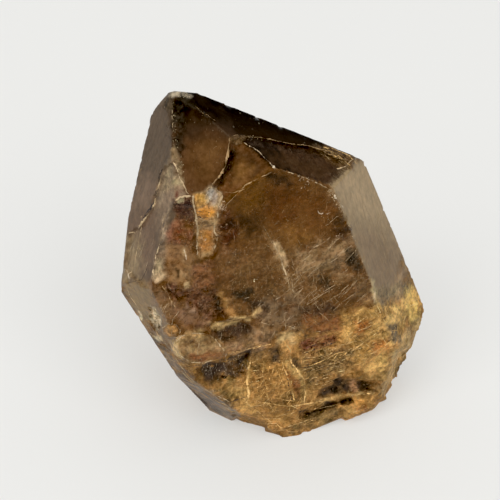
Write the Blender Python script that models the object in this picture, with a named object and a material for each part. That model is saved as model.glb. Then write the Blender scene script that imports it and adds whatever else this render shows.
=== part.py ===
"""Citrine point: one natural quartz crystal standing on its rough, broken base.

Lengths in the tables are millimetres and angles are degrees. Every crystal face is
a flat cut, given by the direction it looks in (azimuth from +X, elevation above
level) and its distance from the crystal's centre. The long axis leans to -X.
"""
import math

import bmesh
import bpy
from mathutils import Matrix, Vector, noise

MM = 0.001
BLOCK_SIDE = 200.0

# The crystal's centre, above the middle of its footprint.
CRYSTAL_CENTRE = (-0.929, -4.753, 31.5)

# The faces that make the point: rhombohedral faces, steep and shallow.
POINT_FACES = {
    "front": (-89.5, 33.7, 18.0),
    "right": (-15.1, 56.5, 20.77),
    "back_right": (68.0, 39.9, 19.5),
    "left": (-149.1, 19.8, 23.34),
    "back_left": (120.2, 15.5, 18.34),
    "far_left": (162.7, 7.6, 22.22),
}

# The faces of the prism under the point.
PRISM_FACES = {
    "front": (-72.4, 5.7, 6.57),
    "right": (-23.1, 17.0, 14.29),
    "back_right": (45.4, 15.2, 18.93),
    "back": (107.5, -5.7, 19.35),
    "left": (175.3, 5.0, 22.9),
    "front_left": (-130.1, -12.1, 19.8),
}

# Worn spots on the corners.
CHIPPED_CORNERS = {
    "tip_top": (-100.0, 75.0, 33.2),
    "tip_back": (84.1, 49.7, 25.95),
    "tip_left": (151.3, 31.0, 29.65),
    "right_shoulder": (15.0, 42.0, 22.2),
}

# Breaks that draw the base in towards the face it rests on.
BASE_BREAKS = {
    "front": (-77.0, -5.0, 12.1),
    "front_left": (-108.8, -27.4, 21.6),
    "left_front": (-121.4, -26.8, 21.7),
    "left": (-145.9, -20.1, 23.5),
    "far_left": (-164.2, -24.4, 23.1),
    "back_left": (135.0, -25.0, 22.5),
    "back": (86.9, -20.6, 20.5),
    "back_right": (43.3, -15.6, 28.0),
    "right": (-8.9, -9.5, 26.7),
    "right_front": (-29.5, -8.9, 22.4),
    "front_right": (-60.6, -30.7, 24.9),
}

# The broken, stained base lies under this plane, square to the long axis.
BASE_LINE = (180.0, 83.7, -9.4)
BASE_GRAIN = 1.9
BASE_RELIEF = 1.1
BASE_FADE = 3.0
BASE_SPARE = 2.0
LUMP_SIZE = 5.5
LUMP_SHARE = 1.0
RIDGE_SPACING = 3.4
RIDGE_WANDER = 1.6
RIDGE_SHARE = 0.35
MEAN_RIDGE = 0.64

# A layer has broken off both front faces of the point, down to these planes.
SHOULDER_FLOORS = {
    "front": (-90.9, 32.6, 16.48),
    "right": (-10.5, 55.4, 20.18),
}
SHOULDER_OUTLINE = (
    (-6.6, -3.0), (-3.7, -0.8), (-0.5, 0.6), (5.1, 3.2), (9.4, 4.3), (12.3, 4.0),
    (18.0, 0.0), (14.0, -12.0), (-8.0, -14.0), (-9.9, -7.6), (-8.5, -6.2),
    (-7.0, -4.9), (-6.7, -4.2),
)
SHOULDER_HEIGHTS = (12.0, 40.0)

# A thin step runs down the left face, drawn as it looks from -X: (y, z).
STEP_FLOOR = (-149.1, 19.8, 22.9)
STEP_OUTLINE = (
    (-4.8, 25.6), (-3.7, 22.9), (-4.8, 19.4), (-5.3, 16.8), (-5.1, 12.6), (-3.8, 9.5),
    (-6.0, 4.0), (-16.0, 6.0), (-14.0, 18.0), (-8.0, 27.0),
)
STEP_SPAN = (-30.0, -12.0)

# Scoops: (centre, direction of the long half, half length, half width, half depth).
GROWTH_LINE = (0.90, 0.32, 0.30)
SCOOPS = {
    "scar_upper": ((-13.9, -11.3, 18.2), (-0.12, -0.1, 1.0), 5.6, 3.6, 3.2),
    "scar_lower": ((-15.6, -12.9, 10.6), (-0.12, 0.0, 1.0), 6.4, 4.8, 3.6),
    "pit": ((-10.1, -10.3, 14.6), (-0.05, -0.1, 1.0), 7.2, 2.5, 2.6),
    "groove_upper": ((-5.6, -10.4, -5.2), GROWTH_LINE, 4.6, 1.3, 2.2),
    "groove_left": ((-9.0, -12.2, -14.6), GROWTH_LINE, 5.2, 1.7, 2.2),
    "groove_right": ((12.2, -6.8, -21.6), GROWTH_LINE, 4.8, 1.2, 2.4),
    "groove_low": ((9.0, -8.0, -26.0), GROWTH_LINE, 5.0, 1.3, 2.2),
}
SCOOP_RINGS = 10
SCOOP_SEGMENTS = 14
SCOOP_RIPPLE = 0.12

AMBER = (0.19, 0.10, 0.04, 1.0)
GLOSS_ROUGHNESS = 0.12


def facing(azimuth, elevation):
    """Unit vector that looks in a direction given in degrees."""
    level = math.cos(math.radians(elevation))
    return Vector((
        level * math.cos(math.radians(azimuth)),
        level * math.sin(math.radians(azimuth)),
        math.sin(math.radians(elevation)),
    ))


def clear_scene():
    for item in list(bpy.data.objects):
        bpy.data.objects.remove(item, do_unlink=True)


def new_collection(name):
    collection = bpy.data.collections.new(name)
    bpy.context.scene.collection.children.link(collection)
    return collection


def slice_off(bm, plane):
    """Cut away what lies beyond a plane and close the cut with a flat face."""
    azimuth, elevation, distance = plane
    normal = facing(azimuth, elevation)
    cut = bmesh.ops.bisect_plane(
        bm, geom=bm.verts[:] + bm.edges[:] + bm.faces[:], dist=1e-5,
        plane_co=normal * distance, plane_no=normal, clear_outer=True)
    rim = [part for part in cut["geom_cut"] if isinstance(part, bmesh.types.BMEdge)]
    if rim:
        bmesh.ops.contextual_create(bm, geom=rim)
    bmesh.ops.recalc_face_normals(bm, faces=bm.faces[:])


def crystal_blank():
    """The whole crystal with flat faces, still too long at the base."""
    bm = bmesh.new()
    bmesh.ops.create_cube(bm, size=BLOCK_SIDE)
    for faces in (POINT_FACES, PRISM_FACES, CHIPPED_CORNERS, BASE_BREAKS):
        for plane in faces.values():
            slice_off(bm, plane)
    slice_off(bm, (0.0, -90.0, CRYSTAL_CENTRE[2] + BASE_SPARE))
    return bm


def refine_base(bm):
    """Divide the faces under the base line until no edge is longer than the grain."""
    azimuth, elevation, distance = BASE_LINE
    normal = facing(azimuth, elevation)
    bmesh.ops.bisect_plane(
        bm, geom=bm.verts[:] + bm.edges[:] + bm.faces[:], dist=1e-5,
        plane_co=normal * distance, plane_no=normal)
    base = [f for f in bm.faces if f.calc_center_median().dot(normal) < distance]
    bmesh.ops.triangulate(bm, faces=base)
    while True:
        long_edges = [
            e for e in bm.edges
            if e.calc_length() > BASE_GRAIN
            and all(v.co.dot(normal) < distance + 1e-4 for v in e.verts)
        ]
        if not long_edges:
            break
        bmesh.ops.subdivide_edges(bm, edges=long_edges, cuts=1)
        bmesh.ops.triangulate(bm, faces=bm.faces[:])


def roughen_base(bm):
    """Push the base's surface in and out as broken ridges along the growth line."""
    azimuth, elevation, distance = BASE_LINE
    normal = facing(azimuth, elevation)
    bm.normal_update()
    moves = {}
    for vert in bm.verts:
        depth = distance - vert.co.dot(normal)
        if depth <= 0.0:
            continue
        fade = min(1.0, depth / BASE_FADE)
        lumps = noise.fractal(vert.co / LUMP_SIZE, 1.0, 2.0, 3)
        wander = RIDGE_WANDER * noise.noise(vert.co / LUMP_SIZE)
        ridge = abs(math.sin(math.pi * (depth + wander) / RIDGE_SPACING)) - MEAN_RIDGE
        moves[vert] = vert.normal * (BASE_RELIEF * fade * (LUMP_SHARE * lumps + RIDGE_SHARE * ridge))
    for vert, move in moves.items():
        vert.co += move


def finish_mesh(bm, name, collection):
    """Turn millimetres about the crystal's centre into metres about the footprint."""
    bmesh.ops.translate(bm, verts=bm.verts[:], vec=Vector(CRYSTAL_CENTRE))
    bmesh.ops.scale(bm, verts=bm.verts[:], vec=(MM, MM, MM))
    mesh = bpy.data.meshes.new(name)
    bm.to_mesh(mesh)
    bm.free()
    piece = bpy.data.objects.new(name, mesh)
    collection.objects.link(piece)
    return piece


def prism_block(outline, span, to_solid):
    """A closed block: an outline drawn flat, extruded over a span, then turned."""
    low, high = span
    bm = bmesh.new()
    corners = [bm.verts.new(to_solid @ Vector((u, v, low))) for u, v in outline]
    face = bm.faces.new(corners)
    rise = to_solid.to_3x3() @ Vector((0.0, 0.0, high - low))
    grown = bmesh.ops.extrude_face_region(bm, geom=[face])
    top = [part for part in grown["geom"] if isinstance(part, bmesh.types.BMVert)]
    bmesh.ops.translate(bm, verts=top, vec=rise)
    return bm


def layer_cutter(name, outline, span, to_solid, floor, collection):
    """What is lost inside an outline, above the plane that a layer broke off from."""
    azimuth, elevation, distance = floor
    bm = prism_block(outline, span, to_solid)
    slice_off(bm, (azimuth + 180.0, -elevation, -distance))
    return finish_mesh(bm, name, collection)


def scoop_cutter(name, scoop, collection):
    """A rippled egg shape that leaves a shell-like hollow."""
    centre, along, half_length, half_width, half_depth = scoop
    bm = bmesh.new()
    bmesh.ops.create_uvsphere(
        bm, u_segments=SCOOP_SEGMENTS, v_segments=SCOOP_RINGS, radius=1.0)
    for vert in bm.verts:
        vert.co *= 1.0 + SCOOP_RIPPLE * noise.noise(vert.co * 2.3 + Vector(centre))
    z_axis = Vector(along).normalized()
    outward = facing(*PRISM_FACES["front"][:2])
    y_axis = (outward - z_axis * outward.dot(z_axis)).normalized()
    x_axis = y_axis.cross(z_axis)
    turn = Matrix((x_axis, y_axis, z_axis)).transposed().to_4x4()
    stretch = Matrix.Diagonal((half_width, half_depth, half_length, 1.0))
    bm.transform(Matrix.Translation(Vector(centre)) @ turn @ stretch)
    return finish_mesh(bm, name, collection)


def subtract(piece, cutter):
    cutter.hide_render = True
    cutter.display_type = "WIRE"
    cut = piece.modifiers.new(cutter.name, "BOOLEAN")
    cut.operation = "DIFFERENCE"
    cut.solver = "EXACT"
    cut.object = cutter


def amber_quartz():
    material = bpy.data.materials.new("amber_quartz")
    material.use_nodes = True
    shader = material.node_tree.nodes["Principled BSDF"]
    shader.inputs["Base Color"].default_value = AMBER
    shader.inputs["Roughness"].default_value = GLOSS_ROUGHNESS
    shader.inputs["Metallic"].default_value = 0.0
    return material


def main():
    clear_scene()
    parts = new_collection("citrine")
    cutters = new_collection("cutters")

    bm = crystal_blank()
    refine_base(bm)
    roughen_base(bm)
    slice_off(bm, (0.0, -90.0, CRYSTAL_CENTRE[2]))
    bmesh.ops.triangulate(bm, faces=bm.faces[:])
    crystal = finish_mesh(bm, "citrine_point", parts)
    crystal.data.materials.append(amber_quartz())

    upright = Matrix.Identity(4)
    from_left = Matrix(((0, 0, 1, 0), (1, 0, 0, 0), (0, 1, 0, 0), (0, 0, 0, 1)))
    for side, floor in SHOULDER_FLOORS.items():
        subtract(crystal, layer_cutter(
            "shoulder_" + side, SHOULDER_OUTLINE, SHOULDER_HEIGHTS, upright, floor, cutters))
    subtract(crystal, layer_cutter(
        "left_step", STEP_OUTLINE, STEP_SPAN, from_left, STEP_FLOOR, cutters))
    for name, scoop in SCOOPS.items():
        subtract(crystal, scoop_cutter(name, scoop, cutters))


main()
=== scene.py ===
"""The citrine point's looks: one crystal with satin and clear faces, a stepped
shoulder, a red-brown scar and a rough, iron-stained base, on a plain pale floor.

The crystal's shape is a distance field in millimetres about its centre. It has the
flat faces, breaks and scoops of the solid in the frame, a few of them up to 0.6 mm
further out, and the wear and roughness that the solid leaves out. Dual contouring
turns the field into a mesh. Its paint, veins and flakes are outlined in the camera's
view, in pixels of a picture 500 pixels wide, and carried onto the crystal. Some of
the paint is painted light: part of the satin faces' grey, the top face's near-black,
shade in the base's hollows, in its pits, under its ledges and along cracks, glints
and highlights, and a lighter tone on the hidden sides.
"""
import itertools
import math

import bpy
import numpy as np
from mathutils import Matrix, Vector
from mathutils.bvhtree import BVHTree


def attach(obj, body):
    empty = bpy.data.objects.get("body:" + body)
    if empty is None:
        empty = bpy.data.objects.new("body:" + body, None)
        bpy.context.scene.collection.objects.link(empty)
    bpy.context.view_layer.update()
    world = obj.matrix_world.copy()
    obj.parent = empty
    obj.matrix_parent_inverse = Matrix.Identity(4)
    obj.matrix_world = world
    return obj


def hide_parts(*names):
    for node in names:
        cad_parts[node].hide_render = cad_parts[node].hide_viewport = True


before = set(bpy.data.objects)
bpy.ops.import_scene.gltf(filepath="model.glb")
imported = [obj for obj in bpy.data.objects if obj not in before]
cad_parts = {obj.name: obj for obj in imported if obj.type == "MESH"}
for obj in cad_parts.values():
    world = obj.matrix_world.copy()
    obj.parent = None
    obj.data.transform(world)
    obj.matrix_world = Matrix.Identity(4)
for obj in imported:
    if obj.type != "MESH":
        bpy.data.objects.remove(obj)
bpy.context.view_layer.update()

MM = 0.001
NODE = "citrine_point"
# The middle of the crystal in the frame, in mm. All places below are counted from it.
CENTRE = np.array((-0.929, -4.753, 31.5))

# --------------------------------------------------------------------------
# The crystal's planes: azimuth and elevation in degrees, distance in mm.
CRYSTAL_FACES = {
    "point_front": (-89.5, 33.7, 18.0),
    "point_right": (-15.1, 56.5, 20.77),
    "point_back_right": (68.0, 39.9, 19.5),
    "point_left": (-149.1, 19.8, 23.34),
    "point_back_left": (120.2, 15.5, 18.95),
    "point_far_left": (162.7, 7.6, 22.35),
    "prism_front": (-72.4, 5.7, 6.57),
    "prism_right": (-23.1, 17.0, 14.29),
    "prism_back_right": (45.4, 15.2, 19.25),
    "prism_back": (107.5, -5.7, 19.35),
    "prism_left": (175.3, 5.0, 23.35),
    "prism_front_left": (-130.1, -12.1, 19.8),
    "tip_top": (-100.0, 75.0, 33.2),
    "tip_back": (84.1, 49.7, 25.95),
    "tip_left": (151.3, 31.0, 30.2),
    "right_shoulder": (15.0, 42.0, 22.2),
}
BASE_BREAKS = {
    "front": (-77.0, -5.0, 12.1),
    "front_left": (-108.8, -27.4, 21.6),
    "left_front": (-121.4, -26.8, 21.7),
    "left": (-145.9, -20.1, 23.5),
    "far_left": (-164.2, -24.4, 23.1),
    "back_left": (135.0, -25.0, 22.5),
    "back": (86.9, -20.6, 20.5),
    "back_right": (43.3, -15.6, 28.0),
    "right": (-8.9, -9.5, 26.7),
    "right_front": (-29.5, -8.9, 22.4),
    "front_right": (-60.6, -30.7, 24.9),
}
# Where the broken base begins.
BASE_LINE = (180.0, 83.7, -9.4)
# The two sunk faces of the stepped shoulder, and the shoulder's outline seen from above.
SHOULDER_FRONT = (-90.9, 32.6, 16.48)
SHOULDER_RIGHT = (-10.5, 55.4, 20.18)
SHOULDER_OUTLINE = (
    (-6.6, -3.0), (-3.7, -0.8), (-0.5, 0.6), (5.1, 3.2), (9.4, 4.3), (12.3, 4.0),
    (18.0, 0.0), (14.0, -12.0), (-8.0, -14.0), (-9.9, -7.6), (-8.5, -6.2),
    (-7.0, -4.9), (-6.7, -4.2),
)
# The floor of the shallow step on the left, and the step's outline seen from that side.
STEP_FLOOR = (-149.1, 19.8, 22.9)
STEP_OUTLINE = (
    (-4.8, 25.6), (-3.7, 22.9), (-4.8, 19.4), (-5.3, 16.8), (-5.1, 12.6), (-3.8, 9.5),
    (-6.0, 4.0), (-16.0, 6.0), (-14.0, 18.0), (-8.0, 27.0),
)
STEP_WEST = 12.0
# The line that the base's hollows and ledges run along.
GROWTH_LINE = (0.90, 0.32, 0.30)
# Egg-shaped hollows: middle, long axis, half length, half width and half depth, in mm.
SCOOPS = {
    "scar_upper": ((-13.9, -11.3, 18.2), (-0.12, -0.1, 1.0), 5.6, 3.6, 3.2),
    "scar_lower": ((-15.6, -12.9, 10.6), (-0.12, 0.0, 1.0), 6.4, 4.8, 3.6),
    "pit": ((-10.1, -10.3, 14.6), (-0.05, -0.1, 1.0), 7.2, 2.5, 2.6),
    "groove_upper": ((-5.6, -10.4, -5.2), GROWTH_LINE, 4.6, 1.3, 2.2),
    "groove_left": ((-9.0, -12.2, -14.6), GROWTH_LINE, 5.2, 1.7, 2.2),
    "groove_right": ((12.2, -6.8, -21.6), GROWTH_LINE, 4.8, 1.2, 2.4),
    "groove_low": ((9.0, -8.0, -26.0), GROWTH_LINE, 5.0, 1.3, 2.2),
}
# Corners worn round: place, reach and how much, in mm.
ROUNDED = (
    ((-15.9, -0.4, 33.6), 6.0, 1.5),
    ((13.6, 3.0, 22.0), 7.0, 1.6),
)
# Wear along the edges, in mm: how far it reaches, its least size, and the size of its chips.
EDGE_REACH, EDGE_WEAR, CHIP_WEAR = 2.6, 0.14, 0.8
# The side of a grid cell in mm, the grid's corners, and how far from the surface the
# field is worked out in full.
CELL = 0.335
GRID_LOW, GRID_HIGH = np.array((-26.5, -15.5, -33.5)), np.array((28.0, 24.5, 36.5))
DEEPEST, FURTHEST = -4.2, 2.4


def facing(azimuth, elevation):
    level = math.cos(math.radians(elevation))
    return np.array((
        level * math.cos(math.radians(azimuth)),
        level * math.sin(math.radians(azimuth)),
        math.sin(math.radians(elevation)),
    ))


def plane_value(points, plane):
    """How far points lie outside a plane, in mm."""
    azimuth, elevation, distance = plane
    return points @ facing(azimuth, elevation) - distance


# --------------------------------------------------------------------------
# Noise.
GRADIENTS = np.array([
    (x, y, z) for x in (-1, 0, 1) for y in (-1, 0, 1) for z in (-1, 0, 1)
    if abs(x) + abs(y) + abs(z) == 2
], float)
LAST_CODE = 255
SHUFFLE = np.random.default_rng(7).permutation(LAST_CODE + 1)
SCATTERED = np.random.default_rng(8).random((LAST_CODE + 1, 3))
# Each seed reads the noise at another place, and START keeps those places above zero.
SEED_SHIFT, START = 19.7, 500.0


def noise(points, size, seed=0):
    """Smooth noise, about -0.7 to 0.7, with lumps about as large as size."""
    scaled = points / size + SEED_SHIFT * seed + START
    corner = np.floor(scaled).astype(int)
    part = scaled - corner
    ease = part * part * part * (part * (part * 6 - 15) + 10)
    total = np.zeros(len(points))
    for dx, dy, dz in itertools.product((0, 1), repeat=3):
        weight = ease[:, 0] if dx else 1 - ease[:, 0]
        weight = weight * (ease[:, 1] if dy else 1 - ease[:, 1])
        weight = weight * (ease[:, 2] if dz else 1 - ease[:, 2])
        code = SHUFFLE[(corner[:, 0] + dx) & LAST_CODE]
        code = SHUFFLE[(code + corner[:, 1] + dy) & LAST_CODE]
        code = SHUFFLE[(code + corner[:, 2] + dz) & LAST_CODE]
        slope = GRADIENTS[code % len(GRADIENTS)]
        total += weight * (
            slope[:, 0] * (part[:, 0] - dx)
            + slope[:, 1] * (part[:, 1] - dy)
            + slope[:, 2] * (part[:, 2] - dz))
    return total


def layers(points, *waves):
    """A sum of noises, each given as its height, its size in mm and its seed."""
    return sum(height * noise(points, size, seed) for height, size, seed in waves)


def ramp(value, low, high):
    """0 under low, 1 over high, and a smooth step between."""
    t = np.clip((value - low) / (high - low), 0.0, 1.0)
    return t * t * (3 - 2 * t)


def outline_distance(flat, outline):
    """Distance to a closed outline, less than zero inside it."""
    nearest = np.full(len(flat), np.inf)
    inside = np.zeros(len(flat), bool)
    for start, end in zip(outline, outline[1:] + outline[:1]):
        start, end = np.array(start), np.array(end)
        along, from_start = end - start, flat - start
        share = np.clip(from_start @ along / (along @ along), 0, 1)
        nearest = np.minimum(nearest, np.sum((from_start - share[:, None] * along) ** 2, 1))
        crosses = (start[1] > flat[:, 1]) != (end[1] > flat[:, 1])
        height = np.where(crosses, (flat[:, 1] - start[1]) / (along[1] or 1.0), 0.0)
        inside ^= crosses & (flat[:, 0] < start[0] + height * along[0])
    return np.where(inside, -1, 1) * np.sqrt(nearest)


# --------------------------------------------------------------------------
# The camera's view, in which marks on the crystal are outlined, in pixels.
ELEVATION = math.radians(43.0)
FORWARD = np.array((0.0, math.cos(ELEVATION), -math.sin(ELEVATION)))
UP = np.array((0.0, math.sin(ELEVATION), math.cos(ELEVATION)))
RIGHT = np.array((1.0, 0.0, 0.0))
DISTANCE = 315.0
EYE = -DISTANCE * FORWARD
PICTURE = 500.0
FOCAL = 1942.5
# The pixel where CENTRE is seen.
MIDDLE = np.array((272.0, 263.0))


def view_ray(pixel):
    x, y = (np.array(pixel, float) - MIDDLE) / FOCAL
    way = FORWARD + x * RIGHT - y * UP
    return way / np.linalg.norm(way)


def pixels_of(points):
    way = points - EYE
    depth = way @ FORWARD
    return MIDDLE + FOCAL * np.stack((way @ RIGHT, -(way @ UP)), 1) / depth[:, None]


def pairs(text):
    """Pixel pairs from text such as "170,161 163,171"."""
    return tuple(tuple(float(v) for v in pair.split(",")) for pair in text.split())


def area_mask(pixels, outline, soft, shift):
    """1 well inside an outline of pixels, 0 outside it, soft pixels between."""
    outline = pairs(outline)
    room = soft + 4
    near = np.all((pixels > np.min(outline, 0) - room) & (pixels < np.max(outline, 0) + room), 1)
    mask = np.zeros(len(pixels))
    mask[near] = 1 - ramp(outline_distance(pixels[near], outline) + shift[near], -soft, soft)
    return mask


# Hollows and bumps: outline, how far in (mm), crumbs on it (mm), soft edge (pixels).
RELIEF = (
    ("212,326 225,322 240,319 252,325 250,333 238,340 222,343 213,338", 0.9, 0.9, 3),
    ("199,370 208,363 222,360 236,357 252,350 249,361 246,373 226,380 211,381 202,376", 1.0, 1.0, 3),
    ("319,396 324,388 333,381 341,377 352,378 362,379 372,382 373,390 357,393 341,393 "
     "327,397", 1.0, 0.8, 2.5),
    ("301,412 311,409 323,406 335,400 352,396 355,400 341,403 327,409 314,417 304,418", 0.9, 0.8, 2),
    ("174,344 183,338 194,334 206,334 218,340 226,351 225,357 206,363 188,363 178,357 "
     "174,351", -0.9, 0.2, 4),
    ("164,329 168,326 176,326 180,331 178,336 170,337 165,334", -0.6, 0.2, 2),
    ("214,322 225,318 237,316 251,317 257,309 259,312 252,320 238,321 226,325 218,329 "
     "214,326", -0.55, 0.1, 1.8),
    ("168,289 180,292 193,290 207,291 217,292 225,302 225,317 207,320 186,302 172,300", 0.45, 0.8, 3),
    ("193,266 206,262 214,268 214,292 194,290", 0.15, 0.5, 3),
    ("186,315 200,314 217,322 214,331 200,332 188,326", 0.5, 0.0, 4),
    ("281,345 287,342 293,347 293,357 286,360 281,354", -0.6, 0.2, 2.5),
    ("150,309 156,308 161,318 161,328 156,331 151,322", 0.3, 0.7, 2),
    ("172,104 180,104 181,160 174,158 172,140", 0.05, 0.35, 2),
    ("163,171 171,161 177,172 184,190 180,198 168,205 152,206 157,195 159,180", 0.05, 0.3, 2),
    ("302,346 330,334 342,336 341,344 322,352 304,355", 0.25, 0.5, 3),
    ("318,145 330,145 348,151 357,159 350,167 340,167 327,159", 0.05, 0.3, 2),
    ("236,414 250,416 264,415 272,424 262,432 238,430", 0.7, 0.2, 3),
    ("392,356 402,350 412,352 406,376 392,398 384,394", 0.7, 0.2, 4),
    ("346,408 366,402 376,398 380,408 366,424 346,428", -0.8, 0.2, 4),
    ("414,298 424,300 430,322 420,334 414,318", -0.6, 0.2, 4),
    ("180,386 196,390 212,402 204,414 176,398", 0.5, 0.1, 4),
    ("286,424 296,420 304,430 300,442 284,440", -0.4, 0.1, 3),
    ("398,350 410,348 412,376 402,388 392,380", 0.9, 0.1, 4),
    ("283,361 289,360 305,376 308,402 301,408 296,392 290,376", -0.45, 0.1, 2),
    ("250,362 290,364 296,392 300,410 262,414 248,396", -0.3, 0.3, 3),
    ("300,340 332,334 352,344 356,374 330,380 308,392 302,366", 0.2, 0.5, 4),
    ("342,312 380,306 394,318 388,346 366,358 348,346", -0.35, 0.4, 3),
)
# Where the broken base is smoother.
CALM = (
    "148,330 166,346 180,362 192,378 206,386 226,400 244,418 240,440 200,425 160,380 135,335",
    "388,352 408,324 420,304 440,300 436,350 400,420 370,425 378,398",
    "392,240 408,268 430,290 430,330 412,330 400,300 386,290",
    "220,404 300,418 370,402 390,396 390,430 330,450 280,450 220,440",
)
# Places on the hidden faces, behind the rim, that are pushed in: outline, depth (mm), soft
# edge (pixels).
TRIMS = (
    ("396,364 406,361 410,372 404,384 394,386 390,376", 0.6, 3),
)


# Noises are given as height, size in mm and seed: how marks' edges waver, in pixels, and
# the crumbs on them, whose middle value leaves the surface where it is.
MARK_WAVES = (2.2, 1.6, 40)
CRUMBS = (1.0, 0.75, 41), (0.6, 1.5, 42)
CRUMBS_MIDDLE = 0.25


def relief(points, front):
    """How far marks push the surface in; front is 1 on the faces that the view shows."""
    push = np.zeros(len(points))
    if not len(points):
        return push
    pixels = pixels_of(points)
    shift = layers(points, MARK_WAVES)
    crumbs = sum(np.abs(layers(points, wave)) for wave in CRUMBS) - CRUMBS_MIDDLE
    for outline, depth, crumbly, soft in RELIEF:
        mask = area_mask(pixels, outline, soft, shift)
        push += mask * (depth + crumbly * crumbs)
    push *= front
    for outline, depth, soft in TRIMS:
        push += depth * area_mask(pixels, outline, soft, shift) * (1 - front)
    return push


# --------------------------------------------------------------------------
# The crystal as a field: less than zero inside, in mm.
EDGE_CHIPS, STAIN_LINE = (1.0, 1.3, 8), (1.2, 4.0, 3)
SHOULDER_RAGGED, STEP_RAGGED = (0.5, 1.2, 9), (0.4, 1.1, 10)
# The broken base: lumps, steps of the ledges, small folds, and the size of a hollow in mm.
LUMPS, LEDGES, FOLDS = (0.5, 4.2, 1), (3.0, 5.0, 4), (1.0, 1.3, 5)
LEDGE_HEIGHT, HOLLOW_SIZE, HOLLOW_SEED, RELIEF_HEIGHT, RELIEF_MIDDLE = 0.25, 5.2, 5, 1.3, 0.35
GROWTH_SQUEEZE = 0.55
SCOOP_SEED = 20
BASE_EDGE = 2.2
CALM_SOFT, CALMED, RIM_CALMED = 5, 0.9, 0.8
PLANES = tuple(CRYSTAL_FACES.values()) + tuple(BASE_BREAKS.values())
TOWARDS_VIEW = np.array([facing(a, e) @ -FORWARD for a, e, _ in PLANES])


def outer_shape(points):
    """The largest and second largest distance outside any flat face, and which is largest."""
    first = np.full(len(points), -np.inf)
    second = first.copy()
    face = np.zeros(len(points), int)
    for number, plane in enumerate(PLANES):
        value = plane_value(points, plane)
        second = np.maximum(second, np.minimum(first, value))
        face = np.where(value > first, number, face)
        first = np.maximum(first, value)
    return first, second, face


def worn_shape(points):
    """The flat faces' field with worn edges, and how far each point's face looks at the view."""
    first, second, face = outer_shape(points)
    edge = first - second < EDGE_REACH
    wear = np.full(len(points), EDGE_WEAR)
    wear[edge] += CHIP_WEAR * ramp(layers(points[edge], EDGE_CHIPS), 0.25, 0.55)
    for corner, reach, size in ROUNDED:
        away = np.linalg.norm(points - np.array(corner), axis=1)
        wear += size * (1 - ramp(away, 0.3 * reach, reach))
    field = first + np.maximum(wear - (first - second), 0.0) ** 2 / (4 * wear)
    return field, TOWARDS_VIEW[face]


def base_depth(points):
    """How far points lie under the line where the broken base begins, in mm."""
    return -plane_value(points, BASE_LINE) + layers(points, STAIN_LINE)


def drawn_out(points):
    """Points squeezed along the growth line, so noise on them runs along it."""
    along = np.array(GROWTH_LINE) / np.linalg.norm(GROWTH_LINE)
    return points - GROWTH_SQUEEZE * (points @ along)[:, None] * along


def nearest_two(points, size, seed):
    """Distances to the nearest and second nearest of scattered points, in cells."""
    grid = points / size
    corner = np.floor(grid).astype(int)
    first = np.full(len(points), np.inf)
    second = first.copy()
    for step in itertools.product((-1, 0, 1), repeat=3):
        cell = corner + step
        code = SHUFFLE[(cell[:, 2] + seed) & LAST_CODE]
        code = SHUFFLE[(cell[:, 1] + code) & LAST_CODE]
        code = SHUFFLE[(cell[:, 0] + code) & LAST_CODE]
        away = np.linalg.norm(grid - cell - SCATTERED[code], axis=1)
        second = np.minimum(second, np.maximum(first, away))
        first = np.minimum(first, away)
    return first, second


def hollow_cells(points):
    """The base's hollows: distances to their nearest and second nearest middles, in cells."""
    return nearest_two(drawn_out(points), HOLLOW_SIZE, HOLLOW_SEED)


def small_folds(points):
    return np.abs(layers(points, FOLDS))


def base_relief(points):
    """How far the broken base's surface is pushed in: lumps, ledges, hollows and folds."""
    drawn = drawn_out(points)
    ledges = layers(drawn, LEDGES)
    ledges = (np.floor(ledges) + ramp(ledges - np.floor(ledges), 0.35, 0.65)) / LEDGES[0]
    near, _ = hollow_cells(points)
    hollows = np.maximum(0.5 - 0.55 * near ** 2, 0.0) + 0.3 * small_folds(points)
    return layers(drawn, LUMPS) + LEDGE_HEIGHT * ledges + RELIEF_HEIGHT * (hollows - RELIEF_MIDDLE)


def break_base(field, points, towards_view):
    """Roughens the base in the field, less so in calm places and near the rim."""
    in_base = ramp(base_depth(points), 0.0, BASE_EDGE)
    broken = in_base > 0
    pixels = pixels_of(points[broken])
    calm = np.zeros(len(pixels))
    for outline in CALM:
        calm = np.maximum(calm, area_mask(pixels, outline, CALM_SOFT, np.zeros(len(calm))))
    rim = 1 - ramp(np.abs(towards_view[broken]), 0.15, 0.45)
    worn = (1 - CALMED * calm) * (1 - RIM_CALMED * rim)
    field[broken] += in_base[broken] * base_relief(points[broken]) * worn


def cut_away(field, above, flat, outline, ragged):
    """Takes away what lies above a floor and inside an outline with a ragged edge."""
    return np.maximum(field, np.minimum(above, -(outline_distance(flat, outline) + ragged)))


def scoop_depth(points, scoop, seed):
    """Distance inside a rippled egg shape, more than zero inside it."""
    centre, along, half_length, half_width, half_depth = scoop
    z_axis = np.array(along) / np.linalg.norm(along)
    outward = facing(*CRYSTAL_FACES["prism_front"][:2])
    y_axis = outward - z_axis * (outward @ z_axis)
    y_axis /= np.linalg.norm(y_axis)
    x_axis = np.cross(y_axis, z_axis)
    local = (points - np.array(centre)) @ np.array((x_axis, y_axis, z_axis)).T
    local /= np.array((half_width, half_depth, half_length))
    radius = np.linalg.norm(local, axis=1)
    wave = np.zeros(len(points))
    near = np.abs(radius - 1.0) < 0.5
    wave[near] = layers(points[near], (0.1, 2.2, seed), (0.06, 1.0, seed + 1))
    return (1.0 - radius + wave) * half_depth


def below_ground(points):
    return -(points[:, 2] + CENTRE[2])


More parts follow.
